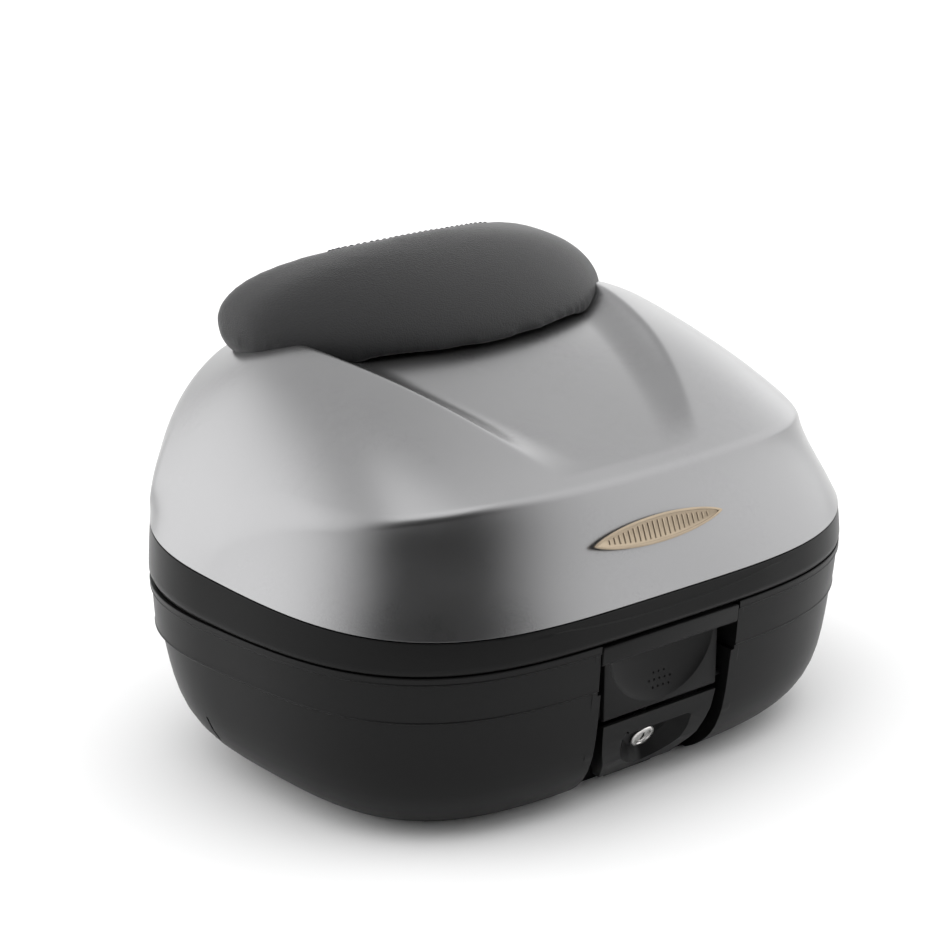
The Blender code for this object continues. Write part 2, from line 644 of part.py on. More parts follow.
def make_lid(lid_joint):
    outer, outer_centre = lid_skin(0.0, COVER_INSET, 0.0)
    inner, inner_centre = lid_skin(WALL, COVER_INSET + WALL, 0.0)
    cover = loft("lid_cover", inner[::-1] + outer, inner_centre, outer_centre)

    top, top_centre = lid_skin(0.0050, COVER_INSET + 0.0050, 0.0003)
    under, under_centre = lid_skin(0.0080, COVER_INSET + 0.0080, 0.003)
    low = PARTING_Z + RIM_GAP
    band_inside = [ring_at(COVER_INSET + 0.0018, lambda x, y: SHELF_Z + 0.008),
                   ring_at(0.0075, SHELF_Z + 0.003, detour=True),
                   ring_at(0.0075, SHELF_Z, detour=True), ring_at(WALL, SHELF_Z), ring_at(WALL, low)]
    band_outside = [ring_at(0.0, low), ring_at(COVER_INSET, lambda x, y: cover_edge(x, y) - 0.0010),
                    ring_at(COVER_INSET + 0.0050, lambda x, y: cover_edge(x, y) - 0.0010)]
    frame = loft("lid_frame", under[::-1] + band_inside + band_outside + top,
                 under_centre, top_centre)
    for side, name in ((-1, "left"), (1, "right")):
        join(frame, hinge_pad(side, low, PARTING_Z + 0.030, f"lid_pad_{name}"))
        for x in (HINGE_X - 0.011, HINGE_X + 0.011):
            cut(frame, screw_hole(f"lid_hinge_bore_{name}_{x:.3f}", (side * x, 0.212, 0.167),
                                  (0, -1, 0), 0.02))
        cut(frame, screw_hole(f"striker_bore_{name}", (side * 0.010, -0.1985, SHELF_Z - 0.0023),
                              (0, 0, 1), 0.009))
    for index, (x, y) in enumerate(cover_screw_places(), 1):
        skin, out = Vector((x, y, lid_top(x, y))), lid_normal(x, y)
        foot = skin - out * 0.0112
        join(cover, rod(f"cover_boss_{index}", foot, skin - out * 0.0018, 0.0050, 12))
        cut(cover, screw_hole(f"cover_thread_{index}", foot - out * GAP, out, 0.0075))
        cut(frame, rod(f"cover_boss_bore_{index}", foot - out * 0.02, foot + out * 0.01, 0.0054, 12))
        screw(f"cover_screw_{index}", foot - out * GAP, out, 0.0070, head=0.0075, parent=lid_joint)
    for index, (x, y) in enumerate(backrest_screw_places(), 1):
        seat = lid_top(x, y) - 0.0080 * 1.1 - 0.0030
        for target, label in ((cover, "cover"), (frame, "frame")):
            cut(target, rod(f"backrest_bore_{label}_{index}", (x, y, seat - 0.01), (x, y, seat + 0.03),
                            0.0019, 12))
        screw(f"backrest_screw_{index}", (x, y, seat), (0, 0, 1), 0.0140, head=0.0070, parent=lid_joint)
    finish(cover, SILVER_PAINT, 0.32, 0.85, sharp=28, parent=lid_joint)
    finish(frame, BLACK_PLASTIC, 0.42, parent=lid_joint)

    seal_in, seal_out = 0.0034, 0.0066
    low_z, high_z = PARTING_Z + LIP_RISE + GAP, SHELF_Z - GAP
    seal = loft("rim_seal", [ring_at(seal_in, low_z, detour=True), ring_at(seal_out, low_z, detour=True),
                             ring_at(seal_out, high_z, detour=True),
                             ring_at(seal_in, high_z, detour=True)], closed=True)
    finish(seal, RUBBER, 0.7, parent=lid_joint)


def make_striker(lid_joint):
    top = SHELF_Z - GAP
    outline = ((-0.2035, top), (-0.2035, top - 0.0022), (-0.1915, top - 0.0022), (-0.1915, 0.1420),
               (-0.1958, 0.1412), (-0.1958, 0.1385), (-0.1890, 0.1385), (-0.1890, top))
    striker = prism("latch_striker", outline, -0.016, 0.016)
    for side, name in ((-1, "left"), (1, "right")):
        head_face = (side * 0.010, -0.1985, top - 0.0025)
        cut(striker, screw_hole(f"striker_hole_{name}", head_face, (0, 0, 1), 0.02))
        screw(f"striker_screw_{name}", head_face, (0, 0, 1), 0.0080, head=0.0040, parent=lid_joint)
    finish(striker, STEEL, 0.35, 1.0, parent=lid_joint)


def make_badge(lid_joint):
    """A plain lens-shaped trim plate on the latch-side wall of the cover."""
    centre = Vector((0.0, -0.1878, PARTING_Z + 0.0704))
    lean = math.atan2(0.0314, 0.0749)
    up = Vector((0.0, math.sin(lean), math.cos(lean)))
    out = Vector((0.0, -math.cos(lean), math.sin(lean)))
    half, rise, steps = 0.063, 0.0105, 16
    upper = [(half * math.cos(math.pi * step / steps),
              rise * math.sin(math.pi * step / steps) ** 1.5) for step in range(1, steps)]
    outline = [(half, 0.0)] + upper + [(-half, 0.0)] + [(a, -b) for a, b in reversed(upper)]
    badge = prism("badge_plate", outline, 0.0006, 0.0026, centre, Vector((1, 0, 0)), up, out)
    finish(badge, BRONZE, 0.3, 1.0, parent=lid_joint)


# ---------------------------------------------------------------- hinges
def make_hinges(lid_joint):
    parts = (("base", 0.1190, 0.1455, 0.129, None), ("lid", 0.1505, 0.1770, 0.167, lid_joint))
    for side, name in ((-1, "left"), (1, "right")):
        middle = side * HINGE_X
        for label, low, high, screw_z, parent in parts:
            leaf = box(f"hinge_{label}_leaf_{name}", (middle - HINGE_HALF, HINGE_PAD_Y + GAP, low),
                       (middle + HINGE_HALF, HINGE_PAD_Y + 0.0028, high))
            spans = ((-0.0075, 0.0075),)
            if label == "base":
                spans = ((-HINGE_HALF, -0.0078), (0.0078, HINGE_HALF))
            for index, (start, end) in enumerate(spans):
                join(leaf, rod(f"{label}_knuckle_{name}_{index}", (middle + start, HINGE_Y, PARTING_Z),
                               (middle + end, HINGE_Y, PARTING_Z), KNUCKLE_RADIUS, sides=20))
                web_z = (0.1400, 0.1470) if label == "base" else (0.1490, 0.1560)
                join(leaf, box(f"{label}_web_{name}_{index}", (middle + start, HINGE_PAD_Y + GAP, web_z[0]),
                               (middle + end, HINGE_Y - 0.0015, web_z[1])))
            cut(leaf, rod(f"{label}_pin_bore_{name}", (middle - 0.03, HINGE_Y, PARTING_Z),
                          (middle + 0.03, HINGE_Y, PARTING_Z), 0.0025 + GAP))
            for index, x in enumerate((HINGE_X - 0.011, HINGE_X + 0.011), 1):
                head_face = (side * x, HINGE_PAD_Y + 0.0031, screw_z)
                cut(leaf, screw_hole(f"{label}_leaf_hole_{name}_{index}", head_face, (0, -1, 0), 0.01))
                screw(f"hinge_{label}_screw_{name}_{index}", head_face, (0, -1, 0), 0.0115, parent=parent)
            finish(leaf, STEEL, 0.4, 1.0, parent=parent)
        pin = rod(f"hinge_pin_{name}", (middle - 0.0212, HINGE_Y, PARTING_Z),
                  (middle + 0.0212, HINGE_Y, PARTING_Z), 0.0025)
        finish(pin, STEEL, 0.3, 1.0)


# ---------------------------------------------------------------- backrest
def pad_plan(around, width):
    cosine, sine = math.cos(around), math.sin(around)
    x = PAD_HALF * math.copysign(abs(cosine) ** (2 / 4.2), cosine) * width
    y = PAD_DEPTH * math.copysign(abs(sine) ** (2 / 4.2), sine) * width
    return x, PAD_CENTRE_Y + y + PAD_BOW * (x / PAD_HALF) ** 2


def pad_point(around, rise):
    """A point of the pad's form: around its outline, and from -1 under it to 1 on its crown."""
    power = 1.85 if rise >= 0 else 3.7
    lift = math.sin(rise * math.pi / 2)
    x, y = pad_plan(around, math.cos(rise * math.pi / 2) ** (2 / power))
    z = (PAD_RISE if rise >= 0 else PAD_LOWER) * math.copysign(abs(lift) ** (2 / power), lift)
    return x, y + PAD_LEAN * max(z, 0.0), PAD_CENTRE_Z + z


def pad_angles():
    """Angles that space the pad's outline evenly enough at its square corners."""
    chosen = []
    for step in range(PAD_STEPS):
        turn = math.tau * step / PAD_STEPS
        chosen.append(turn - 0.17 * math.sin(4 * turn))
    return chosen


def under_pad_ring(width, lift):
    """A ring that follows the lid's top at a given height over it."""
    ring = []
    for around in pad_angles():
        x, y = pad_plan(around, width)
        ring.append(Vector((x, y, lid_top(x, y) + lift)))
    return ring


def make_backrest(lid_joint):
    seat, carrier_low, carrier_high = 0.0095, 0.0040, 0.0068
    rings = [under_pad_ring(width, seat) for width in (0.25, 0.50, 0.72)]
    for rise in (-0.50, -0.25, 0.0, 0.22, 0.42, 0.58, 0.72, 0.84, 0.93, 0.98):
        ring = []
        for around in pad_angles():
            x, y, z = pad_point(around, rise)
            ring.append(Vector((x, y, max(z, lid_top(x, y) + 0.0040))))
        rings.append(ring)
    middle = (0.0, PAD_CENTRE_Y)
    pad = loft("backrest_pad", rings, Vector((*middle, lid_top(*middle) + seat)),
               Vector(pad_point(0.0, 1.0)))
    finish(pad, VINYL, 0.75, sharp=80, parent=lid_joint)

    rings = [under_pad_ring(width, carrier_low) for width in (0.25, 0.50, 0.68)]
    rings += [under_pad_ring(width, carrier_high) for width in (0.68, 0.50, 0.25)]
    carrier = loft("backrest_carrier", rings, Vector((*middle, lid_top(*middle) + carrier_low)),
                   Vector((*middle, lid_top(*middle) + carrier_high)))
    for index, (x, y) in enumerate(backrest_screw_places(), 1):
        cut(carrier, rod(f"carrier_thread_{index}", (x, y, lid_top(x, y) - 0.01),
                         (x, y, lid_top(x, y) + 0.02), 0.0019, 12))
    finish(carrier, DARK_PLASTIC, 0.6, parent=lid_joint)


# ---------------------------------------------------------------- assembly
lid_hinge = joint_empty("lid_hinge_axis", (0.0, HINGE_Y, PARTING_Z))
handle_pivot = joint_empty("latch_handle_axis", (0.0, PIVOT_Y, PIVOT_Z))
lock_axis = joint_empty("lock_axis", LOCK_CENTRE)
catch_slide = joint_empty("dock_catch_slide", (0.0, -0.12, 0.0063))

make_base_shell()
make_floor_mat()
make_lock_panel()
make_lock(lock_axis)
make_handle(handle_pivot)
make_dock_catch(catch_slide)
make_lid(lid_hinge)
make_striker(lid_hinge)
make_badge(lid_hinge)
make_hinges(lid_hinge)
make_backrest(lid_hinge)
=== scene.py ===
"""Motorcycle top case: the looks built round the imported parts.

Metres, +Z up, -Y towards the latch, +Y towards the hinges, origin at the centre of the underside.
"""
import math

import bmesh
import bpy
from mathutils import Matrix, Vector
from mathutils.bvhtree import BVHTree


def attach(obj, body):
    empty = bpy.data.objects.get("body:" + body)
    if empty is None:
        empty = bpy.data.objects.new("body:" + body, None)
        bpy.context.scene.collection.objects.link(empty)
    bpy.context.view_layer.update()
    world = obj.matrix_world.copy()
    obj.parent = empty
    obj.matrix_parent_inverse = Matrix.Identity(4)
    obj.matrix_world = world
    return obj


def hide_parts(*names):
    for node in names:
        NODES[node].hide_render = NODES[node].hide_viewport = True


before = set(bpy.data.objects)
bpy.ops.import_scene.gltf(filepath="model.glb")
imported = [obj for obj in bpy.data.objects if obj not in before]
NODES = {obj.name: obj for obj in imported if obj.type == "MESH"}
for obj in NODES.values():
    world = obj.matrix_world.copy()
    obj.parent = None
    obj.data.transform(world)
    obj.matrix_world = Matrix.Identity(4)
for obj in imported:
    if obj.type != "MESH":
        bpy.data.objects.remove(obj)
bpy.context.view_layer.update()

# ---- the case's shape rules, as in the parts ----
HALF_WIDTH, HALF_DEPTH = 0.2857, 0.2092         # of the plan outline
HINGE_POWER, LATCH_POWER = 2.37, 3.91           # how square its two ends are
TAPER, TAPER_CURVE = 0.132, -0.042              # how its width changes along Y
PARTING_Z, RIM_GAP, WALL, GAP = 0.148, 0.0007, 0.003, 0.0003
LIP_INSET, LIP_WIDTH, LIP_RISE, RECESS_DETOUR = 0.004, 0.002, 0.006, 0.0275
SHELF_Z = PARTING_Z + 0.0106
COVER_INSET, FLANK_TOP, CREST_DROP, CREST_FADE = 0.0027, 0.178, 0.020, 0.038
CREST_START, CREST_RUN = -0.155, 0.15
RECESS_HALF, RECESS_HALF_LOW, RECESS_STEP_Z = 0.0686, 0.0655, 0.105
RECESS_FLOOR = ((-0.1805, 0.152), (-0.1805, 0.080), (-0.163, 0.048), (-0.152, 0.014), (-0.150, -0.02))
HANDLE_HALF, FLAP_HALF = 0.0672, 0.0565
PIVOT_Y, PIVOT_Z, PIN_RADIUS = -0.190, 0.0815, 0.0025
LOCK_CENTRE = Vector((0.0, -0.178, 0.0385))
LOCK_TILT = math.radians(27.0)
LOCK_IN = Vector((0.0, math.cos(LOCK_TILT), math.sin(LOCK_TILT)))
LOCK_UP = Vector((0.0, -math.sin(LOCK_TILT), math.cos(LOCK_TILT)))
BARREL_RADIUS, BEZEL_RADIUS, PLUG_RADIUS = 0.0085, 0.0110, 0.0068
HINGE_X, HINGE_HALF, HINGE_PAD_Y = 0.075, 0.020, 0.2090
SOCKET_X = 0.070
PAD_HALF, PAD_DEPTH, PAD_RISE, PAD_LOWER = 0.1845, 0.058, 0.0625, 0.0245
PAD_CENTRE_Y, PAD_CENTRE_Z = 0.065, PARTING_Z + 0.1715
PAD_BOW, PAD_LEAN, PAD_POWER = 0.068, 0.90, 4.2

# ---- how finely the looks are made ----
STEPS = 288
COVER_STEPS = 400
WALL_ROWS, SHOULDER_ROWS, TOP_ROWS = 22, 12, 110
TOP_CENTRE = Vector((0.0, 0.06))
CREST_ROUNDING = 0.04   # softens the crests
END_RISE = 0.0075       # the lid swells a little under the pad's ends
CREASE_LIMIT = 0.12     # the crease is never further in
COVER_THICKNESS = 0.0024
EDGE_GAP = 0.0010       # the band stops this far under the cover's edge
OVER_DEPTH, UNDER_DEPTH = 0.0068, 0.0080        # the frame's roof, its top and its underside
ROOF_STEEPNESS = 1.1    # depths are measured upright, and the roof slopes
SIDES = (-1, 1)

X, Y, Z = Vector((1, 0, 0)), Vector((0, 1, 0)), Vector((0, 0, 1))


# -------- mesh helpers
def new_object(name, mesh):
    item = bpy.data.objects.new(name, mesh)
    bpy.context.scene.collection.objects.link(item)
    return item


def object_as_is(bm, name):
    mesh = bpy.data.meshes.new(name)
    bm.to_mesh(mesh)
    bm.free()
    return new_object(name, mesh)


def object_from(bm, name):
    """An object of a closed mesh, its faces turned outwards."""
    bmesh.ops.recalc_face_normals(bm, faces=bm.faces)
    if bm.calc_volume(signed=True) < 0:
        bmesh.ops.reverse_faces(bm, faces=bm.faces)
    return object_as_is(bm, name)


def quads(rows, count):
    """Faces between rings of equal count."""
    faces = []
    for low in range(0, (rows - 1) * count, count):
        high = low + count
        for index in range(count):
            after = (index + 1) % count
            faces.append((low + index, low + after, high + after, high + index))
    return faces


def fan(start, count, tip):
    return [(start + index, start + (index + 1) % count, tip) for index in range(count)]


def loft(name, rings, first_centre=None, last_centre=None):
    """A closed skin over rings of equal count. An end is a fan to its centre, or a flat face."""
    count = len(rings[0])
    points = [tuple(point) for ring in rings for point in ring]
    faces = quads(len(rings), count)
    for start, centre in ((0, first_centre), ((len(rings) - 1) * count, last_centre)):
        if centre is None:
            faces.append(tuple(range(start, start + count)))
        else:
            faces += fan(start, count, len(points))
            points.append(tuple(centre))
    mesh = bpy.data.meshes.new(name)
    mesh.from_pydata(points, [], faces)
    bm = bmesh.new()
    bm.from_mesh(mesh)
    bpy.data.meshes.remove(mesh)
    return object_from(bm, name)


def prism(name, outline, start, end, origin=Vector(), across=Y, up=Z, along=X):
    """A flat outline swept from start to end."""
    bm = bmesh.new()
    places = [origin + across * a + up * b + along * start for a, b in outline]
    face = bm.faces.new([bm.verts.new(place) for place in places])
    swept = bmesh.ops.extrude_face_region(bm, geom=[face])
    moved = [element for element in swept["geom"] if isinstance(element, bmesh.types.BMVert)]
    bmesh.ops.translate(bm, verts=moved, vec=along * (end - start))
    return object_from(bm, name)


def box(name, low, high):
    bm = bmesh.new()
    bmesh.ops.create_cube(bm, size=1.0)
    low, high = Vector(low), Vector(high)
    bmesh.ops.scale(bm, verts=bm.verts, vec=high - low)
    bmesh.ops.translate(bm, verts=bm.verts, vec=(low + high) / 2)
    return object_from(bm, name)


def turned(name, profile, origin, axis, sides=64):
    """A profile of radius and distance along the axis, turned round it."""
    turn = Z.rotation_difference(Vector(axis)).to_matrix()
    angles = [step * math.tau / sides for step in range(sides)]
    rings = [[Vector(origin) + turn @ Vector((radius * math.cos(angle), radius * math.sin(angle), along))
              for angle in angles] for radius, along in profile]
    return loft(name, rings)


def rod(name, start, end, radius, sides=48):
    start, end = Vector(start), Vector(end)
    return turned(name, ((radius, 0.0), (radius, (end - start).length)), start, end - start, sides)


def apply_modifiers(item):
    bpy.context.view_layer.update()
    graph = bpy.context.evaluated_depsgraph_get()
    mesh = bpy.data.meshes.new_from_object(item.evaluated_get(graph))
    old = item.data
    item.modifiers.clear()
    item.data = mesh
    bpy.data.meshes.remove(old)


def combine(item, tools, operation):
    """Boolean the tools into the item, then drop them."""
    for tool in tools:
        modifier = item.modifiers.new("combine", "BOOLEAN")
        modifier.object = tool
        modifier.operation = operation
        modifier.solver = "EXACT"
    apply_modifiers(item)
    for tool in tools:
        bpy.data.objects.remove(tool, do_unlink=True)


def cut(item, *tools):
    combine(item, tools, "DIFFERENCE")


def join(item, *tools):
    combine(item, tools, "UNION")


def soften(item, width, segments=3, angle=30.0):
    modifier = item.modifiers.new("soften", "BEVEL")
    modifier.width = width
    modifier.segments = segments
    modifier.limit_method = "ANGLE"
    modifier.angle_limit = math.radians(angle)
    apply_modifiers(item)


def merge(name, items):
    """One mesh out of several."""
    bm = bmesh.new()
    for item in items:
        bm.from_mesh(item.data)
        bpy.data.objects.remove(item, do_unlink=True)
    return object_as_is(bm, name)


def finish(item, material, body, replaced=(), sharp=35.0):
    """Material, shading, and what the frame has to know of a piece."""
    item.data.materials.clear()
    item.data.materials.append(material)
    item.data.shade_smooth()
    item.data.set_sharp_from_angle(angle=math.radians(sharp))
    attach(item, body)
    if replaced:
        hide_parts(*replaced)
    return item


# -------- materials
class Paint:
    """A Principled material and short ways to add nodes to it."""

    def __init__(self, name, **values):
        self.material = bpy.data.materials.new(name)
        self.material.use_nodes = True
        self.tree = self.material.node_tree
        self.shader = self.tree.nodes["Principled BSDF"]
        for key, value in values.items():
            self.shader.inputs[key.replace("_", " ")].default_value = value
        self.place = self.tree.nodes.new("ShaderNodeTexCoord").outputs["Object"]

    def node(self, kind, inputs=(), **settings):
        made = self.tree.nodes.new(kind)
        for key, value in settings.items():
            setattr(made, key, value)
        for key, value in dict(inputs).items():
            if isinstance(value, bpy.types.NodeSocket):
                self.tree.links.new(value, made.inputs[key])
            else:
                made.inputs[key].default_value = value
        return made

    def noise(self, scale, detail=2.0):
        return self.node("ShaderNodeTexNoise", {"Vector": self.place, "Scale": scale,
                                                "Detail": detail, "Roughness": 0.5}).outputs["Fac"]

    def cells(self, scale):
        return self.node("ShaderNodeTexVoronoi", {"Vector": self.place, "Scale": scale},
                         feature="F1").outputs["Distance"]

    def span(self, value, low, high, start=0.0, end=1.0):
        return self.node("ShaderNodeMapRange", {"Value": value, "From Min": start, "From Max": end,
                                                "To Min": low, "To Max": high}).outputs["Result"]

    def mix(self, factor, first, second):
        made = self.node("ShaderNodeMix", {"Factor": factor}, data_type="RGBA")
        colours = [socket for socket in made.inputs if socket.type == "RGBA"]
        colours[0].default_value, colours[1].default_value = (*first, 1.0), (*second, 1.0)
        return next(socket for socket in made.outputs if socket.type == "RGBA")

    def add(self, first, second, share=1.0):
        scaled = self.node("ShaderNodeMath", {0: second, 1: share}, operation="MULTIPLY").outputs[0]
        return self.node("ShaderNodeMath", {0: first, 1: scaled}, operation="ADD").outputs[0]

    def set(self, key, output):
        self.tree.links.new(output, self.shader.inputs[key])

    def bump(self, height, distance, rounding=0.0):
        inputs = {"Height": height, "Distance": distance, "Strength": 1.0}
        if rounding:
            bevel = self.node("ShaderNodeBevel", {"Radius": rounding}, samples=4)
            inputs["Normal"] = bevel.outputs["Normal"]
        self.set("Normal", self.node("ShaderNodeBump", inputs).outputs["Normal"])


def moulded_black(name, grey, grain, roughness):
    """Satin black plastic with a fine moulded grain and slightly uneven sheen."""
    paint = Paint(name, Specular_IOR_Level=0.14)
    cloud = paint.noise(9.0, 3.0)
    fine = paint.noise(2600.0, 2.0)
    darker, lighter = (grey * 0.86,) * 3, (grey * 1.12, grey * 1.12, grey * 1.15)
    paint.set("Base Color", paint.mix(cloud, darker, lighter))
    sheen = paint.add(cloud, fine, 0.35)
    paint.set("Roughness", paint.span(sheen, roughness - 0.05, roughness + 0.06, 0.3, 1.0))
    paint.bump(paint.add(fine, paint.cells(1500.0), 0.5), grain, rounding=0.0007)
    return paint.material


def make_materials():
    made = {key: moulded_black(name, grey, grain, roughness) for key, name, grey, grain, roughness in (
        ("shell", "shell_black", 0.0058, 0.00003, 0.34),
        ("band", "band_black", 0.0030, 0.00003, 0.32),
        ("handle", "handle_black", 0.0080, 0.00009, 0.44),
        ("dark", "dark_plastic", 0.006, 0.00005, 0.50))}

    paint = Paint("silver_paint", Metallic=0.92, Coat_Weight=0.25, Coat_Roughness=0.22)
    cloud, flake = paint.noise(14.0, 3.0), paint.noise(5200.0, 1.0)
    paint.set("Base Color", paint.mix(paint.add(flake, cloud, 0.25),
                                      (0.165, 0.165, 0.168), (0.255, 0.255, 0.258)))
    paint.set("Roughness", paint.span(paint.add(cloud, flake, 0.5), 0.25, 0.33, 0.4, 1.1))
    paint.bump(paint.add(flake, paint.noise(900.0), 0.6), 0.000012, rounding=0.0006)
    made["silver"] = paint.material

    paint = Paint("vinyl", Specular_IOR_Level=0.25, Sheen_Weight=0.26, Sheen_Roughness=0.4)
    cells, fine, cloud = paint.cells(780.0), paint.noise(2400.0, 3.0), paint.noise(22.0, 3.0)
    paint.set("Base Color", paint.mix(paint.add(cloud, cells, 0.35),
                                      (0.009, 0.009, 0.0095), (0.017, 0.017, 0.018)))
    paint.set("Roughness", paint.span(paint.add(cells, cloud, 0.6), 0.50, 0.66, 0.2, 1.1))
    paint.bump(paint.add(cells, fine, 0.5), 0.00022)
    made["vinyl"] = paint.material

    paint = Paint("thread", Roughness=0.7, Sheen_Weight=0.3)
    paint.set("Base Color", paint.mix(paint.noise(3000.0), (0.035, 0.035, 0.037), (0.075, 0.075, 0.078)))
    paint.bump(paint.noise(5000.0), 0.0001)
    made["thread"] = paint.material

    for name, colour, roughness, streak in (("steel", (0.50, 0.51, 0.53), 0.34, 900.0),
                                            ("nickel", (0.80, 0.79, 0.77), 0.30, 1400.0),
                                            ("bronze", (0.33, 0.27, 0.20), 0.34, 700.0)):
        paint = Paint(name, Metallic=1.0)
        fine, cloud = paint.noise(streak, 3.0), paint.noise(60.0, 3.0)
        darker = tuple(channel * 0.82 for channel in colour)
        paint.set("Base Color", paint.mix(cloud, darker, colour))
        paint.set("Roughness", paint.span(paint.add(fine, cloud, 0.5),
                                          roughness - 0.06, roughness + 0.10, 0.3, 1.2))
        paint.bump(fine, 0.00002, rounding=0.0002)
        made[name] = paint.material

    paint = Paint("rubber", Specular_IOR_Level=0.35)
    cloud, fine = paint.noise(40.0, 3.0), paint.noise(1800.0)
    paint.set("Base Color", paint.mix(cloud, (0.014, 0.014, 0.014), (0.026, 0.026, 0.026)))
    paint.set("Roughness", paint.span(cloud, 0.70, 0.86))
    paint.bump(paint.add(fine, cloud, 0.4), 0.00012)
    made["rubber"] = paint.material

    paint = Paint("ribbed_mat", Specular_IOR_Level=0.35)
    ribs = paint.node("ShaderNodeTexWave", {"Vector": paint.place, "Scale": 26.0}, wave_type="BANDS",
                      bands_direction="X").outputs["Fac"]
    # the colour follows the ribs' relief, darker in the grooves than on the tops: painted shade
    paint.set("Base Color", paint.mix(ribs, (0.012, 0.012, 0.012), (0.030, 0.030, 0.031)))
    paint.set("Roughness", paint.span(paint.noise(50.0), 0.72, 0.88))
    paint.bump(paint.add(ribs, paint.noise(1500.0), 0.2), 0.0008)
    made["mat"] = paint.material

    # white for the tick above the lock: a painted highlight standing in for a small glint
    paint = Paint("white_glint_paint", Roughness=0.5)
    paint.set("Base Color", paint.mix(paint.noise(800.0), (0.62, 0.62, 0.60), (0.75, 0.75, 0.73)))
    made["white"] = paint.material
    return made


M = make_materials()


# -------- shape rules
def ease(value):
    value = min(max(value, 0.0), 1.0)
    return value * value * (3 - 2 * value)


def plan_point(angle, inset):
    """A point of the case's plan outline, moved in by the inset."""
    cosine, sine = math.cos(angle), math.sin(angle)
    power = HINGE_POWER if sine >= 0 else LATCH_POWER
    y = (HALF_DEPTH - inset) * math.copysign(abs(sine) ** (2 / power), sine)
    x = (HALF_WIDTH - inset) * math.copysign(abs(cosine) ** (2 / power), cosine)
    along = y / HALF_DEPTH
    return x * (1 + TAPER * along + TAPER_CURVE * along * along), y


def even_angles(count):
    """Angles evenly spaced along the plan outline, from the middle of the latch side."""
    samples = 7200
    angles = [-math.pi / 2 + math.tau * step / samples for step in range(samples + 1)]
    points = [plan_point(angle, 0.0) for angle in angles]
    lengths = [0.0]
    for before, after in zip(points, points[1:]):
        lengths.append(lengths[-1] + math.dist(before, after))
    chosen, place = [], 0
    for step in range(count):
        wanted = lengths[-1] * step / count
        while lengths[place + 1] < wanted:
            place += 1
        part = (wanted - lengths[place]) / (lengths[place + 1] - lengths[place])
        chosen.append(angles[place] + part * (angles[place + 1] - angles[place]))
    return chosen


ANGLES = even_angles(STEPS)
COVER_ANGLES = even_angles(COVER_STEPS)


def bisect(low, high, past):
    """Close in on the place between low and high where past turns true."""
    for _ in range(30):
        middle = (low + high) / 2
        if past(middle):
            high = middle
        else:
            low = middle
    return low, high


def recess_detour(x, y):
    """How far in the lip goes behind the latch's recess."""
    return RECESS_DETOUR * ease((0.108 - abs(x)) / 0.030) if y < 0 else 0.0


def ring_at(inset, height, detour=False):
    """A ring of the plan outline. Inset and height are numbers, or rules of x and y."""
    ring = []
    for angle in ANGLES:
        x, y = plan_point(angle, inset(*plan_point(angle, 0.0)) if callable(inset) else inset)
        if detour:
            x, y = plan_point(angle, inset + recess_detour(x, y))
        ring.append(Vector((x, y, height(x, y) if callable(height) else height)))
    return ring


def base_inset(fall, y):
    """The tub narrows from the rim (fall 0) to the floor (fall 1)."""
    inset = 0.0174 * fall + 0.0475 * fall ** 6.5 + 0.0019 * (1 - math.sqrt(max(0, 1 - fall ** 4.3)))
    return inset * (1 + 0.2155 * y / HALF_DEPTH)


def base_ring(fall, z, depth):
    """A ring of the tub, at a depth under its plain outside."""
    insets = [base_inset(fall, plan_point(angle, 0.0)[1]) + depth for angle in ANGLES]
    return [Vector((*plan_point(angle, inset), z)) for angle, inset in zip(ANGLES, insets)]


def cover_edge(x, y):
    """The height of the cover's lower edge."""
    return PARTING_Z + 0.0381 + 0.0744 * y + 0.0577 * y * y


def flank(x, y):
    """The lid's height without the sunken panel."""
    return (PARTING_Z + FLANK_TOP + 0.2064 * y - 1.32 * y * y - 0.356 * y ** 3
            - 0.1383 * x * x - 1.536 * x * x * y - 18.86 * x ** 4
            + END_RISE * math.exp(-((abs(x) - 0.185) / 0.055) ** 2 - ((y - 0.085) / 0.060) ** 2))


def crest_x(y):
    """How far out the crests run."""
    return 0.1316 + 0.282 * y - 0.824 * y * y


def lid_top(x, y, rounding=0.0):
    """The lid's flanks with the sunken panel between the crests."""
    fall = 1 - (1 - min(max((y - CREST_START) / CREST_RUN, 0.0), 1.0)) ** 2
    inside = (crest_x(y) - abs(x)) / CREST_FADE
    inside = 0.5 * (inside + math.sqrt(inside * inside + rounding * rounding))
    return flank(x, y) - CREST_DROP * fall * (1 - (1 - min(inside, 1.0)) ** 2)


def wall_lean(y):
    """How far in the lid's wall is, 0.1 m over the parting line."""
    u = y / HALF_DEPTH + 1
    return max(COVER_INSET + 0.001, 0.0341 + 0.0227 * u - 0.0285 * u * u)


def crease_inset(angle):
    """How far in the crease between the lid's wall and its top lies."""
    def wall_is_past(inset):
        x, y = plan_point(angle, inset)
        bottom = cover_edge(x, y)
        slope = (PARTING_Z + 0.1 - bottom) / (wall_lean(y) - COVER_INSET)
        return bottom + (inset - COVER_INSET) * slope > flank(x, y)

    def wall_is_tall(inset):
        point = plan_point(angle, inset)
        return flank(*point) - cover_edge(*point) > least

    start = sum(bisect(COVER_INSET, CREASE_LIMIT, wall_is_past)) / 2
    y = plan_point(angle, start)[1]
    least = 0.009 + 0.021 * ease((y + 0.14) / 0.10) * ease((0.200 - y) / 0.17)
    return max(start, bisect(start, CREASE_LIMIT, wall_is_tall)[1])


CREASES = [crease_inset(angle) for angle in ANGLES]


# -------- lid cover
SHOULDERS = ((-0.21, 0.004), (-0.14, 0.005), (-0.09, 0.009), (-0.03, 0.014), (0.05, 0.018),
             (0.12, 0.022), (0.17, 0.014), (0.21, 0.009))
HOLLOW = 0.0034         # the latch-side wall is slightly hollow under the crease


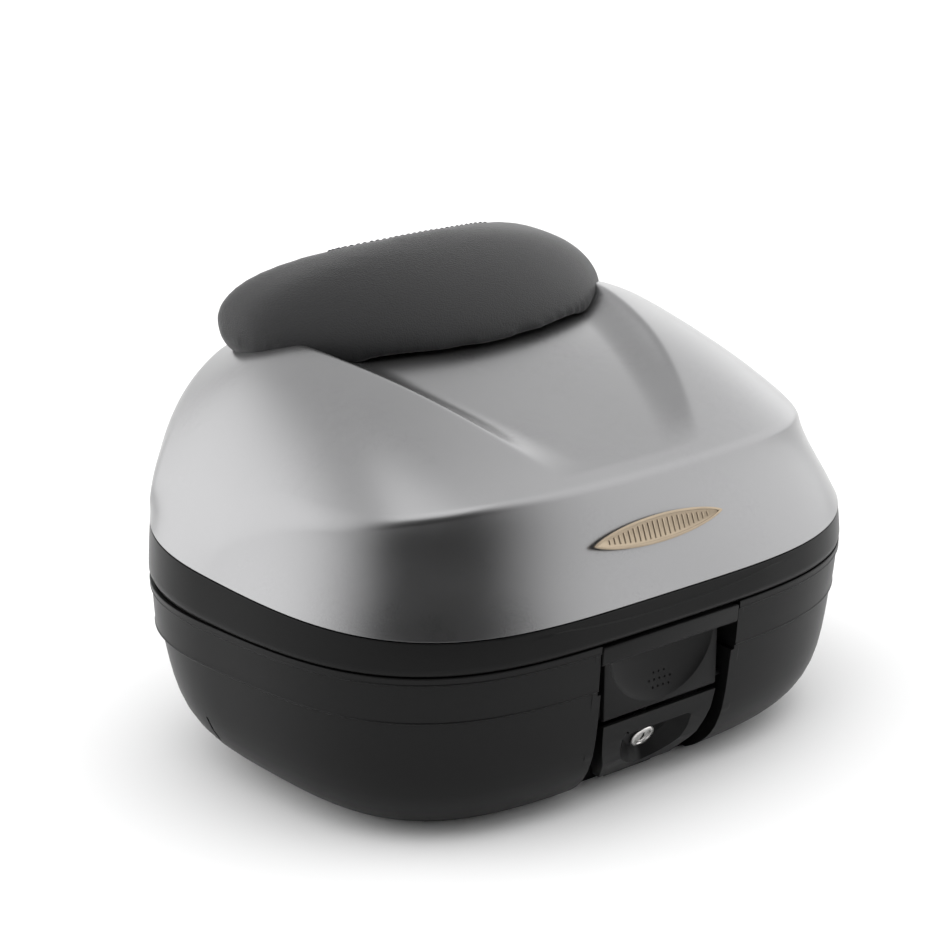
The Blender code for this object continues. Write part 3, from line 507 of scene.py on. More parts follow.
def shoulder(y):
    """How far the rounding between wall and top reaches each way from the crease."""
    for (y0, reach0), (y1, reach1) in zip(SHOULDERS, SHOULDERS[1:]):
        if y <= y1:
            return reach0 + (reach1 - reach0) * ease((y - y0) / (y1 - y0))
    return SHOULDERS[-1][1]


def wall_point(angle, crease, part):
    """A point of the lid's wall, part of the way from the cover's edge to the crease."""
    bottom, corner = plan_point(angle, COVER_INSET), plan_point(angle, crease)
    hollow = HOLLOW * ease(abs(corner[0]) / 0.20) * ease((-0.02 - corner[1]) / 0.10)
    bulge = 6.75 * part * part * (1 - part)     # 1 at its highest, two thirds of the way up
    inset = COVER_INSET + part * (crease - COVER_INSET) + hollow * bulge
    low, high = cover_edge(*bottom), lid_top(*corner, CREST_ROUNDING)
    return Vector((*plan_point(angle, inset), low + part * (high - low)))


def cover_column(angle):
    """Points from the cover's lower edge up the wall, over the shoulder and in over the top."""
    crease = crease_inset(angle)
    foot, corner = wall_point(angle, crease, 0.0), wall_point(angle, crease, 1.0)
    length = (corner - foot).length
    reach = min(shoulder(corner.y), 0.45 * length)
    turn = 1 - reach / length
    column = [wall_point(angle, crease, turn * row / WALL_ROWS) for row in range(WALL_ROWS)]
    inward = corner.xy - TOP_CENTRE
    start = 1 - reach / inward.length

    def top_point(scale):
        x, y = TOP_CENTRE + inward * scale
        return Vector((x, y, lid_top(x, y, CREST_ROUNDING)))

    before, after = wall_point(angle, crease, turn), top_point(start)
    for row in range(SHOULDER_ROWS):
        part = row / SHOULDER_ROWS
        column.append(before.lerp(corner, part).lerp(corner.lerp(after, part), part))
    column += [top_point(start * (1 - row / TOP_ROWS)) for row in range(TOP_ROWS)]
    return column


def thicken(item, depth):
    """Give an open skin thickness on its inner side."""
    modifier = item.modifiers.new("thickness", "SOLIDIFY")
    modifier.thickness = depth
    modifier.offset = -1.0
    apply_modifiers(item)


def skin(name, rings, centre):
    """An open surface over rings, closed at its top, facing outwards."""
    count = len(rings[0])
    points = [tuple(point) for ring in rings for point in ring]
    faces = quads(len(rings), count) + fan((len(rings) - 1) * count, count, len(points))
    mesh = bpy.data.meshes.new(name)
    mesh.from_pydata(points + [tuple(centre)], [], faces)
    return new_object(name, mesh)


def make_cover():
    columns = [cover_column(angle) for angle in COVER_ANGLES]
    outer = [list(row) for row in zip(*columns)]
    edge_lift, edge_round = 0.0003, 0.0007      # the lower edge is rounded by one narrow facet
    outer[0] = [point + Z * edge_lift for point in outer[0]]
    lip = []
    for angle in COVER_ANGLES:
        x, y = plan_point(angle, COVER_INSET + edge_round)
        lip.append(Vector((x, y, cover_edge(x, y))))
    x, y = TOP_CENTRE
    cover = skin("cover_skin", [lip] + outer, Vector((x, y, lid_top(x, y))))
    thicken(cover, COVER_THICKNESS)
    for vertex in cover.data.vertices:
        vertex.co.z = max(vertex.co.z, cover_edge(vertex.co.x, vertex.co.y))
    finish(cover, M["silver"], "lid", ["lid_cover"], sharp=60)


# -------- lid frame
def band_chamfer(x, y):
    """The band turns in towards the parting line, more so at the hinge end."""
    return 0.0009 + 0.0028 * ease((y + 0.05) / 0.20)


def visor(x, y):
    """How far the band stands out over the latch."""
    return 0.0011 * ease((0.135 - abs(x)) / 0.05) if y < 0 else 0.0


def band_row(part, above):
    """A ring of the band, part of the way up, under or above its relief line."""
    ring = []
    low = PARTING_Z + RIM_GAP
    for angle in ANGLES:
        x, y = plan_point(angle, 0.0)
        edge = cover_edge(x, y) - EDGE_GAP
        turn = low + 0.0040 + 0.0045 * ease((y + 0.05) / 0.20)
        relief = edge - 0.0045
        if y < 0:
            relief = min(PARTING_Z + 0.0142 + 0.55 * x * x, relief)
        relief = max(relief, turn + 0.002)
        if above:
            z = relief + 0.0006 + part * (edge - relief - 0.0006)
        else:
            z = turn + part * (relief - turn)
        inset = COVER_INSET * ((z - low) / (edge - low)) ** 1.5 - (0.0 if above else visor(x, y))
        ring.append(Vector((*plan_point(angle, inset), z)))
    return ring


def lid_rings(depth):
    """Rings of a skin at a depth under the lid's outside, from its wall to its top."""
    rings, rows = [], 30
    for part in (0.0, 0.35, 0.7):
        ring = []
        for angle, crease in zip(ANGLES, CREASES):
            inset = COVER_INSET + depth + part * (crease - COVER_INSET)
            low = cover_edge(*plan_point(angle, COVER_INSET)) + 0.003
            top = lid_top(*plan_point(angle, crease + depth)) - depth * ROOF_STEEPNESS
            ring.append(Vector((*plan_point(angle, inset), low + part * max(top - low, 0.002))))
        rings.append(ring)
    for row in range(rows):
        scale = 1.0 - row / rows
        ring = []
        for angle, crease in zip(ANGLES, CREASES):
            flat = Vector(plan_point(angle, crease + depth * 1.6))
            x, y = TOP_CENTRE + (flat - TOP_CENTRE) * scale
            corner_drop = 0.002 if row == 0 else 0.0
            ring.append(Vector((x, y, lid_top(x, y) - depth * ROOF_STEEPNESS - corner_drop)))
        rings.append(ring)
    return rings


def lid_normal(x, y):
    """The outward direction of the lid's top."""
    step = 0.004
    slope_x = (lid_top(x + step, y) - lid_top(x - step, y)) / (2 * step)
    slope_y = (lid_top(x, y + step) - lid_top(x, y - step)) / (2 * step)
    return Vector((-slope_x, -slope_y, 1.0)).normalized()


def hinge_wall_y(x, inset):
    """Where the hinge-side wall is at a given x."""
    angle = bisect(0.0, math.pi / 2, lambda middle: plan_point(middle, inset)[0] <= x)[0]
    return plan_point(angle, inset)[1]


def hinge_pad(side, low, high):
    """The flat block that a hinge leaf is screwed to."""
    start, width, steps = HINGE_X - HINGE_HALF - 0.003, 2 * HINGE_HALF + 0.006, 12
    columns = [start + width * step / steps for step in range(steps + 1)]
    outline = [(side * x, hinge_wall_y(x, 0.0020)) for x in columns]
    outline += [(side * columns[-1], HINGE_PAD_Y), (side * columns[0], HINGE_PAD_Y)]
    return prism("hinge_pad", outline, low, high, Vector(), X, Y, Z)


def make_lid_frame():
    low, shelf_inset = PARTING_Z + RIM_GAP, 0.0075
    inside = [ring_at(COVER_INSET + 0.0018, SHELF_Z + 0.008),
              ring_at(shelf_inset, SHELF_Z + 0.003, detour=True),
              ring_at(shelf_inset, SHELF_Z, detour=True),
              ring_at(WALL, SHELF_Z), ring_at(WALL + 0.0012, low + 0.0004),
              ring_at(lambda x, y: band_chamfer(x, y) + 0.0004, low)]
    outside = [ring_at(band_chamfer, low + 0.0004)]
    outside += [band_row(part, False) for part in (0.0, 0.12, 0.35, 0.65, 0.88, 1.0)]
    outside += [band_row(part, True) for part in (0.0, 0.15, 0.40, 0.70, 0.92)]
    outside += [ring_at(COVER_INSET + reach, lambda x, y: cover_edge(x, y) - EDGE_GAP)
                for reach in (0.0004, 0.0048)]
    under = lid_rings(UNDER_DEPTH)
    over = [[point + Z * 0.0014 for point in ring] for ring in lid_rings(OVER_DEPTH)]
    x, y = TOP_CENTRE
    tip = lid_top(x, y) - UNDER_DEPTH * ROOF_STEEPNESS
    shell = loft("lid_frame_skin", under[::-1] + inside + outside + over, Vector((x, y, tip)),
                 Vector((x, y, tip + 0.003)))
    pieces = [shell] + [hinge_pad(side, low, PARTING_Z + 0.030) for side in SIDES]
    boss = ((0.0096, 0.0), (0.0090, 0.0035), (0.0084, 0.0040))     # round each cover screw
    for x, y in ((-0.165, -0.060), (-0.175, 0.075), (0.165, -0.060), (0.175, 0.075)):
        out, place = lid_normal(x, y), Vector((x, y, lid_top(x, y)))
        pieces.append(turned("boss", boss, place - out * 0.0075, -out, 40))
    finish(merge("lid_frame_moulding", pieces), M["band"], "lid", ["lid_frame"])


# -------- base shell
STEP_Z = 0.109          # the tub's wall steps in here
FLANGE_Z = 0.1412       # and here, under the rim


def tub_rings(rim):
    """Rings up the tub's outside, over its rim and lip, and down its inside."""
    falls = (1.0, 0.985, 0.965, 0.94, 0.91, 0.87, 0.83, 0.77, 0.70, 0.62, 0.54, 0.46, 0.38, 0.32)
    rows = [(rim * (1 - fall), 0.0013) for fall in falls]       # height and inset
    rows += [(STEP_Z - 0.0006, 0.0013), (STEP_Z, 0.0002), (STEP_Z + 0.0008, -0.0003)]
    rows += [(STEP_Z + 0.0017, 0.0003), (0.120, 0.0004), (0.130, 0.0006), (0.137, 0.0010),
             (FLANGE_Z - 0.0006, 0.0011), (FLANGE_Z, 0.0001), (FLANGE_Z + 0.0007, -0.0003),
             (FLANGE_Z + 0.0016, 0.0002), (rim - 0.0006, 0.0002), (rim, 0.0006)]
    rings = []
    for z, inset in rows:
        ring = base_ring(1 - z / rim, z, inset)
        if STEP_Z - 0.0001 < z < FLANGE_Z:
            swell = 0.0034 * (FLANGE_Z - z) / (FLANGE_Z - STEP_Z)
            for point in ring:
                reach = swell * ease((point.y + 0.05) / 0.18) * ease(abs(point.x) / 0.15)
                point.x += math.copysign(reach, point.x)
        rings.append(ring)
    lip_top = PARTING_Z + LIP_RISE
    rings += [ring_at(LIP_INSET + inset, z, detour=True)
              for inset, z in ((0.0006, rim), (0.0006, lip_top - 0.0005), (0.0009, lip_top),
                               (LIP_WIDTH, lip_top), (LIP_WIDTH, rim - 0.003))]
    for fall in (0.09, 0.18, 0.27, 0.40, 0.50, 0.60, 0.70, 0.77, 0.83, 0.87, 0.91, 0.94, 0.965):
        rings.append(base_ring(fall, max(rim * (1 - fall), WALL + 0.001), WALL + 0.0005))
    rings.append(base_ring(1.0, WALL, WALL))
    return rings


def make_base_shell():
    rim = PARTING_Z - RIM_GAP
    shell = loft("base_moulding", tub_rings(rim), Vector((0, 0, 0)), Vector((0, 0, WALL)))

    # the walls round the recess, catch and sockets, and the hinge pads
    housing = ((-0.2077, 0.146), (-0.1775, 0.146), (-0.1775, 0.0810), (-0.1597, 0.0490),
               (-0.1490, 0.0145), (-0.1470, 0.0015), (-0.1550, 0.0015), (-0.1630, 0.0050),
               (-0.1805, 0.0200), (-0.1960, 0.0500), (-0.2033, 0.1000))
    added = [prism("recess_housing", housing, -0.0736, 0.0736),
             box("catch_housing", (-0.027, -0.158, 0.0015), (0.027, -0.056, 0.0170))]
    for side in SIDES:
        added.append(box("socket_housing", (side * SOCKET_X - 0.024, 0.084, 0.0015),
                         (side * SOCKET_X + 0.024, 0.126, 0.0170)))
        added.append(hinge_pad(side, 0.116, rim))
    join(shell, *added)

    # the recess, the pin's bore, the pockets underneath and the corner slits
    back, clear = RECESS_FLOOR, -0.26
    taken = [prism("recess_low", ((clear, back[-1][1]), (clear, back[0][1])) + back,
                   -RECESS_HALF_LOW, RECESS_HALF_LOW),
             prism("recess_high", ((clear, RECESS_STEP_Z), (clear, back[0][1]), back[0],
                                   (back[1][0], RECESS_STEP_Z)), -RECESS_HALF, RECESS_HALF),
             rod("pin_bore", (-0.0710, PIVOT_Y, PIVOT_Z), (0.0710, PIVOT_Y, PIVOT_Z), PIN_RADIUS + GAP),
             box("catch_pocket", (-0.023, -0.100, -0.01), (0.023, -0.062, 0.0130)),
             box("catch_channel", (-0.0165, -0.170, 0.0033), (0.0165, -0.095, 0.0093))]
    for side in SIDES:
        taken.append(box("socket_pocket", (side * SOCKET_X - 0.019, 0.089, -0.01),
                         (side * SOCKET_X + 0.019, 0.121, 0.0130)))
    for side in SIDES:
        start = Vector((side * 0.2742, 0.0233, 0.0560))
        end = start + Vector((-side * 0.0125, -0.003, -0.029))
        taken.append(rod("corner_slit", start, end, 0.0014, 12))
    cut(shell, *taken)
    finish(shell, M["shell"], "base", ["base_shell"], sharp=28)


# -------- latch and lock
def make_handle():
    """The flap with its scoop and grip pits, and the ledge with its hook."""
    flap = ((-0.1972, 0.0775), (-0.1970, 0.1315), (-0.1850, 0.1315), (-0.1850, 0.0790),
            (-0.1880, 0.0760), (-0.1955, 0.0758))
    ledge = ((-0.2062, 0.1298), (-0.2078, 0.1315), (-0.2089, 0.1442), (-0.2080, 0.1452),
             (-0.1985, 0.1452), (-0.1985, 0.1345), (-0.1900, 0.1345), (-0.1900, 0.1298))
    scoop, scoop_size = Vector((0.0, -0.1995, 0.1296)), Vector((0.0535, 0.0115, 0.0500))
    handle = prism("handle", flap, -FLAP_HALF, FLAP_HALF)
    soften(handle, 0.0006, 2)
    bm = bmesh.new()
    bmesh.ops.create_uvsphere(bm, u_segments=96, v_segments=64, radius=1.0)
    bmesh.ops.scale(bm, verts=bm.verts, vec=scoop_size)
    bmesh.ops.translate(bm, verts=bm.verts, vec=scoop)
    cut(handle, object_from(bm, "finger_scoop"))
    pits, pit_shift, pit_pitch, pit_radius = bmesh.new(), 0.003, 0.0052, 0.0010
    rows = ((0.1000, (-1, 0, 1)), (0.0945, (-2, -1, 0, 1, 2)), (0.0890, (-1.5, -0.5, 0.5, 1.5)))
    for z, places in rows:
        for place in places:
            x = pit_shift + place * pit_pitch
            depth = 1 - (x / scoop_size.x) ** 2 - ((z - scoop.z) / scoop_size.z) ** 2
            centre = Vector((x, scoop.y + scoop_size.y * math.sqrt(max(depth, 0.0)), z))
            bmesh.ops.create_icosphere(pits, subdivisions=2, radius=pit_radius,
                                       matrix=Matrix.Translation(centre))
    cut(handle, object_from(pits, "grip_pits"))
    bar = prism("handle_ledge", ledge, -HANDLE_HALF, HANDLE_HALF)
    soften(bar, 0.0006, 2)
    join(handle, bar, box("handle_hook", (-0.018, -0.1990, 0.1425), (0.018, -0.1935, 0.1450)))
    cut(handle, rod("handle_bore", (-0.08, PIVOT_Y, PIVOT_Z), (0.08, PIVOT_Y, PIVOT_Z),
                    PIN_RADIUS + GAP))
    finish(handle, M["handle"], "handle", ["latch_handle"], sharp=32)


def rounded(outline, reach):
    """An outline with its corners rounded."""
    made, steps = [], 6
    points = [Vector(point) for point in outline]
    for index, corner in enumerate(points):
        start, end = (corner + side.normalized() * min(reach, side.length * 0.45)
                      for side in (points[index - 1] - corner, points[(index + 1) % len(points)] - corner))
        for step in range(steps + 1):
            part = step / steps
            made.append(tuple(start.lerp(corner, part).lerp(corner.lerp(end, part), part)))
    return made


def lock_bore(name, radius):
    return rod(name, LOCK_CENTRE - LOCK_IN * 0.01, LOCK_CENTRE + LOCK_IN * 0.02, radius + GAP, 72)


def make_lock_panel():
    """The sloping panel with its shield-shaped hollow, and a raised white tick above the lock that stands in
    for a small glint there: a painted highlight.
    """
    levels = ((0.0722, 0.0565, -0.1975, -0.1940), (0.0640, 0.0560, -0.1960, -0.1848),
              (0.0550, 0.0550, -0.1945, -0.1802), (0.0440, 0.0522, -0.1911, -0.1745),
              (0.0330, 0.0480, -0.1870, -0.1690), (0.0260, 0.0446, -0.1820, -0.1655),
              (0.0190, 0.0405, -0.1760, -0.1620), (0.0105, 0.0360, -0.1685, -0.1580))
    rings = [[Vector((-half, front, z)), Vector((half, front, z)), Vector((half, back, z)),
              Vector((-half, back, z))] for z, half, front, back in levels]
    panel = loft("lock_panel_moulding", rings)
    shield = ((-0.034, 0.0245), (-0.031, 0.008), (-0.0245, -0.004), (-0.0135, -0.0175),
              (0.0, -0.0250), (0.0135, -0.0175), (0.0245, -0.004), (0.031, 0.008), (0.034, 0.0245))
    outline, top = rounded(shield, 0.005), shield[0][1]
    rings = []
    for depth, wide, tall in ((-0.040, 1.14, 1.04), (-0.011, 1.14, 1.04), (0.0025, 0.80, 0.78)):
        rings.append([LOCK_CENTRE + X * u * wide + LOCK_UP * (top - (top - v) * tall) + LOCK_IN * depth
                      for u, v in outline])
    cut(panel, loft("shield_hollow", rings))
    dot = LOCK_CENTRE - X * 0.031 + LOCK_UP * 0.0255 - LOCK_IN * 0.012
    cut(panel, lock_bore("barrel_bore", BARREL_RADIUS), rod("dot", dot, dot + LOCK_IN * 0.010, 0.0016, 24))
    finish(panel, M["shell"], "base", ["lock_panel"])
    # a raised tick painted white above the lock, standing in for a small glint there: painted highlight
    mark = box("glint_tick", (-0.0005, -0.0006, -0.0021), (0.0005, 0.0003, 0.0021))
    mark.data.transform(Matrix.Translation(LOCK_CENTRE + LOCK_UP * 0.0145 + LOCK_IN * 0.0017)
                        @ Matrix.Rotation(LOCK_TILT, 4, "X"))
    soften(mark, 0.0002, 2)
    finish(mark, M["white"], "base")


def make_lock():
    """The barrel with its bezel, and the plug with its key slot."""
    barrel = turned("lock_bezel", ((PLUG_RADIUS + 0.0006, 0.0006), (PLUG_RADIUS + 0.0010, 0.0),
                                   (BEZEL_RADIUS - 0.0014, -0.0001), (BEZEL_RADIUS - 0.0005, 0.0003),
                                   (BEZEL_RADIUS, 0.0010), (BEZEL_RADIUS, 0.0022), (BARREL_RADIUS, 0.0022),
                                   (BARREL_RADIUS, 0.0120)), LOCK_CENTRE, LOCK_IN, 72)
    cut(barrel, lock_bore("plug_bore", PLUG_RADIUS))
    finish(barrel, M["nickel"], "base", ["lock_barrel"])
    plug = turned("lock_face", ((PLUG_RADIUS - 0.0020, 0.0009), (PLUG_RADIUS - 0.0016, 0.0006),
                                (PLUG_RADIUS - 0.0004, 0.0006), (PLUG_RADIUS, 0.0010), (PLUG_RADIUS, 0.0119),
                                (0.0027, 0.0119), (0.0027, 0.0148)), LOCK_CENTRE, LOCK_IN, 72)
    slot = [(-0.0010, -0.0046), (0.0010, -0.0046), (0.0010, -0.0016), (0.0019, -0.0010), (0.0019, 0.0010),
            (0.0010, 0.0016), (0.0010, 0.0046), (-0.0010, 0.0046)]
    cut(plug, prism("key_slot", slot, -0.002, 0.0062, LOCK_CENTRE, X, LOCK_UP, LOCK_IN))
    finish(plug, M["nickel"], "lock", ["lock_plug"])


# -------- badge
def make_badge():
    """A plain lens-shaped plate with a raised rim and a row of fine ribs."""
    centre = Vector((0.0, -0.1878, PARTING_Z + 0.0704))
    lean = math.atan2(0.0314, 0.0749)
    up, out = Vector((0.0, math.sin(lean), math.cos(lean))), Vector((0.0, -math.cos(lean), math.sin(lean)))
    half, rise, steps = 0.063, 0.0105, 40

    def lens(scale_a, scale_b):
        upper = [(half * scale_a * math.cos(math.pi * step / steps),
                  rise * scale_b * math.sin(math.pi * step / steps) ** 1.5) for step in range(1, steps)]
        lower = [(a, -b) for a, b in reversed(upper)]
        return [(half * scale_a, 0.0)] + upper + [(-half * scale_a, 0.0)] + lower

    plate = prism("badge_body", lens(1.0, 1.0), 0.0006, 0.0026, centre, X, up, out)
    cut(plate, prism("badge_field", lens(0.93, 0.78), 0.0018, 0.01, centre, X, up, out))
    soften(plate, 0.0003, 2)
    ribs, rib_pitch, rib_half, rib_least = [plate], 0.0048, 0.0007, 0.0012
    for index in range(-11, 12):
        a = index * rib_pitch
        reach = rise * 0.62 * (1 - (a / (half * 0.93)) ** 2) ** 1.2
        if reach > rib_least:
            rib = prism("rib", [(a - rib_half, -reach), (a + rib_half, -reach), (a + rib_half, reach),
                                (a - rib_half, reach)], 0.0012, 0.0024, centre, X, up, out)
            soften(rib, 0.0003, 2)
            ribs.append(rib)
    finish(merge("badge_trim", ribs), M["bronze"], "lid", ["badge_plate"])


# -------- backrest pad
def pad_plan(around, width):
    """A point of the pad's bowed outline, at a share of its full width."""
    cosine, sine = math.cos(around), math.sin(around)
    x = PAD_HALF * math.copysign(abs(cosine) ** (2 / PAD_POWER), cosine) * width
    y = PAD_DEPTH * math.copysign(abs(sine) ** (2 / PAD_POWER), sine) * width
    return x, PAD_CENTRE_Y + y + PAD_BOW * (x / PAD_HALF) ** 2


def pad_point(around, rise, shrink=0.0):
    """A point of the pad's side: rise is -1 at its underside, 0 at its middle and 1 on top."""
    power = 2.1 if rise >= 0 else 2.4
    lift = math.sin(rise * math.pi / 2)
    x, y = pad_plan(around, math.cos(rise * math.pi / 2) ** (2 / power) * (1 - shrink))
    reach = PAD_RISE * (1 - shrink) if rise >= 0 else PAD_LOWER
    z = reach * math.copysign(abs(lift) ** (2 / power), lift)
    if rise < 0:
        z *= 1 + 0.8 * ease((abs(x) - 0.08) / 0.08)     # deeper at the pad's ends
    return Vector((x, y + PAD_LEAN * 0.5 * (z + math.hypot(z, 0.012)), PAD_CENTRE_Z + z))


def pad_angles(count):
    """Angles round the pad, closer together at its four corners."""
    return [math.tau * step / count - 0.17 * math.sin(4 * math.tau * step / count)
            for step in range(count)]


def pad_floor(point):
    """The point, kept over the lid's top, or bedded into it at the pad's ends."""
    lift = 0.0012 - 0.0127 * ease((abs(point.x) - 0.08) / 0.09)
    return Vector((point.x, point.y, max(point.z, lid_top(point.x, point.y) + lift)))


def pad_form(shrink):
    """The pad's closed form, its underside hollow over the lid."""
    around, clearance = pad_angles(160), 0.0098
    rings = []
    for width in (0.25, 0.50, 0.72):
        ring = []
        for angle in around:
            x, y = pad_plan(angle, width)
            ring.append(Vector((x, y, lid_top(x, y) + clearance)))
        rings.append(ring)
    for step in range(-8, 31):
        rise = step / 16 if step < 0 else 0.985 * math.sin(step / 30 * math.pi / 2)
        rings.append([pad_floor(pad_point(angle, rise, shrink)) for angle in around])
    middle = (0.0, PAD_CENTRE_Y)
    return loft("pad_cover", rings, Vector((*middle, lid_top(*middle) + clearance)),
                pad_point(0.0, 1.0, shrink))


def smooth(bm, passes):
    for _ in range(passes):
        bmesh.ops.smooth_vert(bm, verts=bm.verts, factor=0.5,
                              use_axis_x=True, use_axis_y=True, use_axis_z=True)


def simulate_pad(pad):
    """Blow the cover up over its foam: a short cloth run, with the travel of each point capped."""
    modifier = pad.modifiers.new("even", "REMESH")
    modifier.mode = "VOXEL"
    modifier.voxel_size = 0.0048
    apply_modifiers(pad)
    start = [vertex.co.copy() for vertex in pad.data.vertices]
    held, held_height = pad.vertex_groups.new(name="held"), 0.013
    held.add([index for index, place in enumerate(start)
              if place.z < lid_top(place.x, place.y) + held_height], 1.0, "REPLACE")
    cloth = pad.modifiers.new("cloth", "CLOTH")
    cloth.settings.use_pressure = True
    cloth.settings.uniform_pressure_force = 4.0
    cloth.settings.effector_weights.gravity = 0.0
    cloth.settings.mass = 0.3
    cloth.settings.tension_stiffness = 25.0
    cloth.settings.compression_stiffness = 25.0
    cloth.settings.bending_stiffness = 2.0
    cloth.settings.vertex_group_mass = "held"
    scene, last_frame = bpy.context.scene, 20
    for number in range(1, last_frame + 1):
        scene.frame_set(number)
    graph = bpy.context.evaluated_depsgraph_get()
    moved = [vertex.co.copy() for vertex in pad.evaluated_get(graph).data.vertices]
    pad.modifiers.clear()
    scene.frame_set(1)
    cap = 0.0055
    for vertex, before, after in zip(pad.data.vertices, start, moved):
        step = after - before
        if step.length > cap:
            step *= cap / step.length
        vertex.co = before + step
    bm = bmesh.new()
    bm.from_mesh(pad.data)
    smooth(bm, 9)
    for vertex in bm.verts:
        vertex.co = pad_floor(vertex.co)
    smooth(bm, 4)
    bm.to_mesh(pad.data)
    bm.free()


def seam_path(count):
    """The seam along the hinge-side edge of the pad's upper face."""
    low, high = math.radians(12), math.radians(168)
    return [pad_point(low + (high - low) * part, 0.86 - 0.16 * abs(2 * part - 1) ** 3)
            for part in (step / (count - 1) for step in range(count))]


def make_pad():
    shrink = 0.035      # room for the cloth run to blow it up
    pad = pad_form(shrink)
    simulate_pad(pad)
    modifier = pad.modifiers.new("smooth", "SUBSURF")
    modifier.levels = modifier.render_levels = 2
    apply_modifiers(pad)
    tree = BVHTree.FromObject(pad, bpy.context.evaluated_depsgraph_get())
    path = [tree.find_nearest(place)[:2] for place in seam_path(200)]
    press_seam(pad, [point for point, _ in path])
    finish(pad, M["vinyl"], "lid", ["backrest_pad"], sharp=85)
    make_stitches(path)


def press_seam(pad, points):
    """Press a narrow groove into the pad's cover along the points."""
    reach, depth = 0.0045, 0.0016
    low = Vector([min(point[axis] for point in points) - reach for axis in range(3)])
    high = Vector([max(point[axis] for point in points) + reach for axis in range(3)])
    normals = [vertex.normal.copy() for vertex in pad.data.vertices]
    for vertex, normal in zip(pad.data.vertices, normals):
        place = vertex.co
        if any(place[axis] < low[axis] or place[axis] > high[axis] for axis in range(3)):
            continue
        nearest = min((place - point).length for point in points)
        if nearest < reach:
            vertex.co = place - normal * depth * (1 - nearest / reach) ** 2


def make_stitches(path):
    """Thread stitches along both sides of the seam."""
    lengths = [0.0]
    for (before, _), (after, _) in zip(path, path[1:]):
        lengths.append(lengths[-1] + (after - before).length)

    def at(distance):
        """The point, normal and direction at a distance along the path."""
        place = 0
        while place < len(lengths) - 2 and lengths[place + 1] < distance:
            place += 1
        part = (distance - lengths[place]) / max(lengths[place + 1] - lengths[place], 1e-9)
        point = path[place][0].lerp(path[place + 1][0], part)
        normal = path[place][1].lerp(path[place + 1][1], part).normalized()
        return point, normal, (path[place + 1][0] - path[place][0]).normalized()

    pitch, length, radius, shift, sides = 0.0058, 0.0042, 0.00055, 0.0030, 8
    turns = [turn * math.tau / sides for turn in range(sides)]
    shape = ((-0.5, 0.25), (-0.38, 0.85), (0.0, 1.0), (0.38, 0.85), (0.5, 0.25))  # along, thickness
    pieces = []
    distance = pitch
    while distance < lengths[-1] - pitch:
        point, normal, along = at(distance)
        side = along.cross(normal).normalized()
        for aside in (-shift, shift):
            centre = point + side * aside + normal * 0.0001
            rings = []
            for part, thick in shape:
                dip = -0.0007 * (2 * abs(part)) ** 3
                spot = centre + along * length * part + normal * dip
                rings.append([spot + (side * math.cos(turn) + normal * math.sin(turn)) * radius * thick
                              for turn in turns])
            pieces.append(loft("stitch", rings))
        distance += pitch
    finish(merge("pad_stitching", pieces), M["thread"], "lid")


# -------- parts kept as packed
STEEL_PARTS = ("lock_cam", "lock_nut", "dock_keeper_left", "dock_keeper_right")


def dress_parts():
    """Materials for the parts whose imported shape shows."""
    for name, item in NODES.items():
        if "screw" in name or "hinge" in name or name in STEEL_PARTS:
            chosen = M["steel"]
        else:
            chosen = {"rim_seal": M["rubber"], "floor_mat": M["mat"]}.get(name, M["dark"])
        for slot in item.material_slots:
            slot.material = chosen


# -------- stage, lights, camera
def make_stage():
    bm = bmesh.new()
    bmesh.ops.create_grid(bm, x_segments=2, y_segments=2, size=12.0)
    floor = object_as_is(bm, "studio_floor")
    paint = Paint("floor_white", Roughness=0.9, Specular_IOR_Level=0.1)
    paint.set("Base Color", paint.mix(paint.noise(0.6), (0.90, 0.90, 0.90), (0.93, 0.93, 0.93)))
    floor.data.materials.append(paint.material)


def aimed(name, data, place, target):
    item = new_object(name, data)
    item.location = place
    item.rotation_euler = (Vector(target) - Vector(place)).to_track_quat("-Z", "Y").to_euler()
    return item


def make_lamp():
    """One large soft box, high over the latch side."""
    data = bpy.data.lights.new("high_box", "AREA")
    data.shape = "RECTANGLE"
    data.size = data.size_y = 3.0
    data.energy = 36
    aimed("high_box", data, (-0.6, -0.9, 4.2), (0.0, -0.3, 0.0))


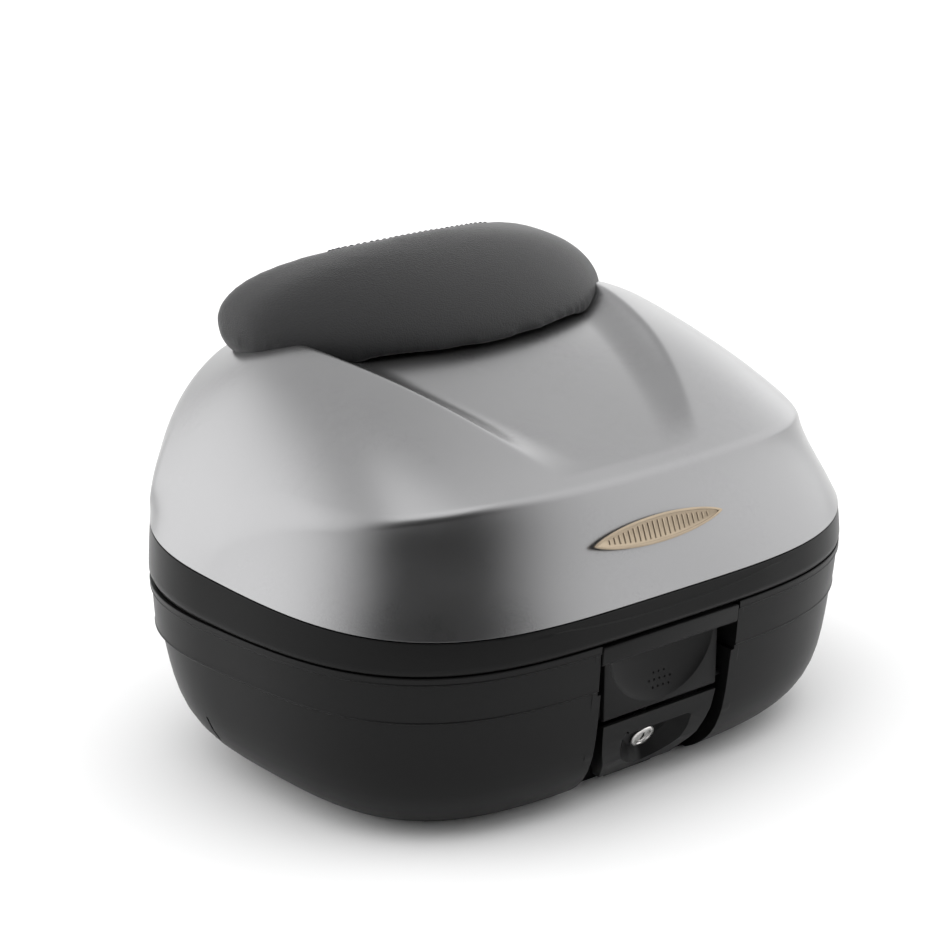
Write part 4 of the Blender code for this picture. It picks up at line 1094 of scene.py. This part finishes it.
def make_world():
    """A soft studio: brighter behind the case and at its right, dark behind the camera."""
    world = bpy.data.worlds.new("studio")
    bpy.context.scene.world = world
    world.use_nodes = True
    tree = world.node_tree
    place = tree.nodes.new("ShaderNodeTexCoord").outputs["Generated"]

    def maths(operation, first, second):
        made = tree.nodes.new("ShaderNodeMath")
        made.operation = operation
        for socket, value in zip(made.inputs, (first, second)):
            if isinstance(value, bpy.types.NodeSocket):
                tree.links.new(value, socket)
            else:
                socket.default_value = value
        return made.outputs[0]

    def lobe(azimuth, elevation, start, end, height):
        """The height within the angle end of one direction, nothing beyond the angle start.

        Azimuth is in degrees from -Y towards +X."""
        across, up = math.radians(azimuth), math.radians(elevation)
        toward = tree.nodes.new("ShaderNodeVectorMath")
        toward.operation = "DOT_PRODUCT"
        tree.links.new(place, toward.inputs[0])
        toward.inputs[1].default_value = (math.cos(up) * math.sin(across), -math.cos(up) * math.cos(across),
                                          math.sin(up))
        span = tree.nodes.new("ShaderNodeMapRange")
        span.interpolation_type = "SMOOTHSTEP"
        tree.links.new(toward.outputs["Value"], span.inputs["Value"])
        span.inputs["From Min"].default_value = math.cos(math.radians(start))
        span.inputs["From Max"].default_value = math.cos(math.radians(end))
        span.inputs["To Max"].default_value = height
        return span.outputs["Result"]

    room_level = 1.32
    light = maths("ADD", lobe(-132, 14, 50, 5, 1.55), room_level)
    for extra in ((130, 6, 36, 5, 0.3), (75, 25, 60, 10, 0.90), (-36, 90, 45, 10, 0.1)):
        light = maths("ADD", light, lobe(*extra))
    light = maths("MULTIPLY", light, maths("SUBTRACT", 1.0, lobe(144, 62, 50, 10, 0.18)))
    dark = maths("SUBTRACT", 1.0, lobe(-26, 22, 58, 26, 1.0))
    tree.links.new(maths("MULTIPLY", light, dark), tree.nodes["Background"].inputs["Strength"])
    tree.nodes["Background"].inputs["Color"].default_value = (1.0, 1.0, 1.0, 1.0)


def make_camera():
    data = bpy.data.cameras.new("camera")
    data.lens, data.sensor_width = 83.37, 36.0
    bpy.context.scene.camera = aimed("camera", data, (-1.0122, -1.3350, 0.8465), (-0.0212, 0.0149, 0.2030))


bpy.context.scene.view_settings.view_transform = "Standard"
make_camera()
make_stage()
make_world()
make_lamp()
dress_parts()
make_cover()
make_lid_frame()
make_base_shell()
make_handle()
make_lock_panel()
make_lock()
make_badge()
make_pad()
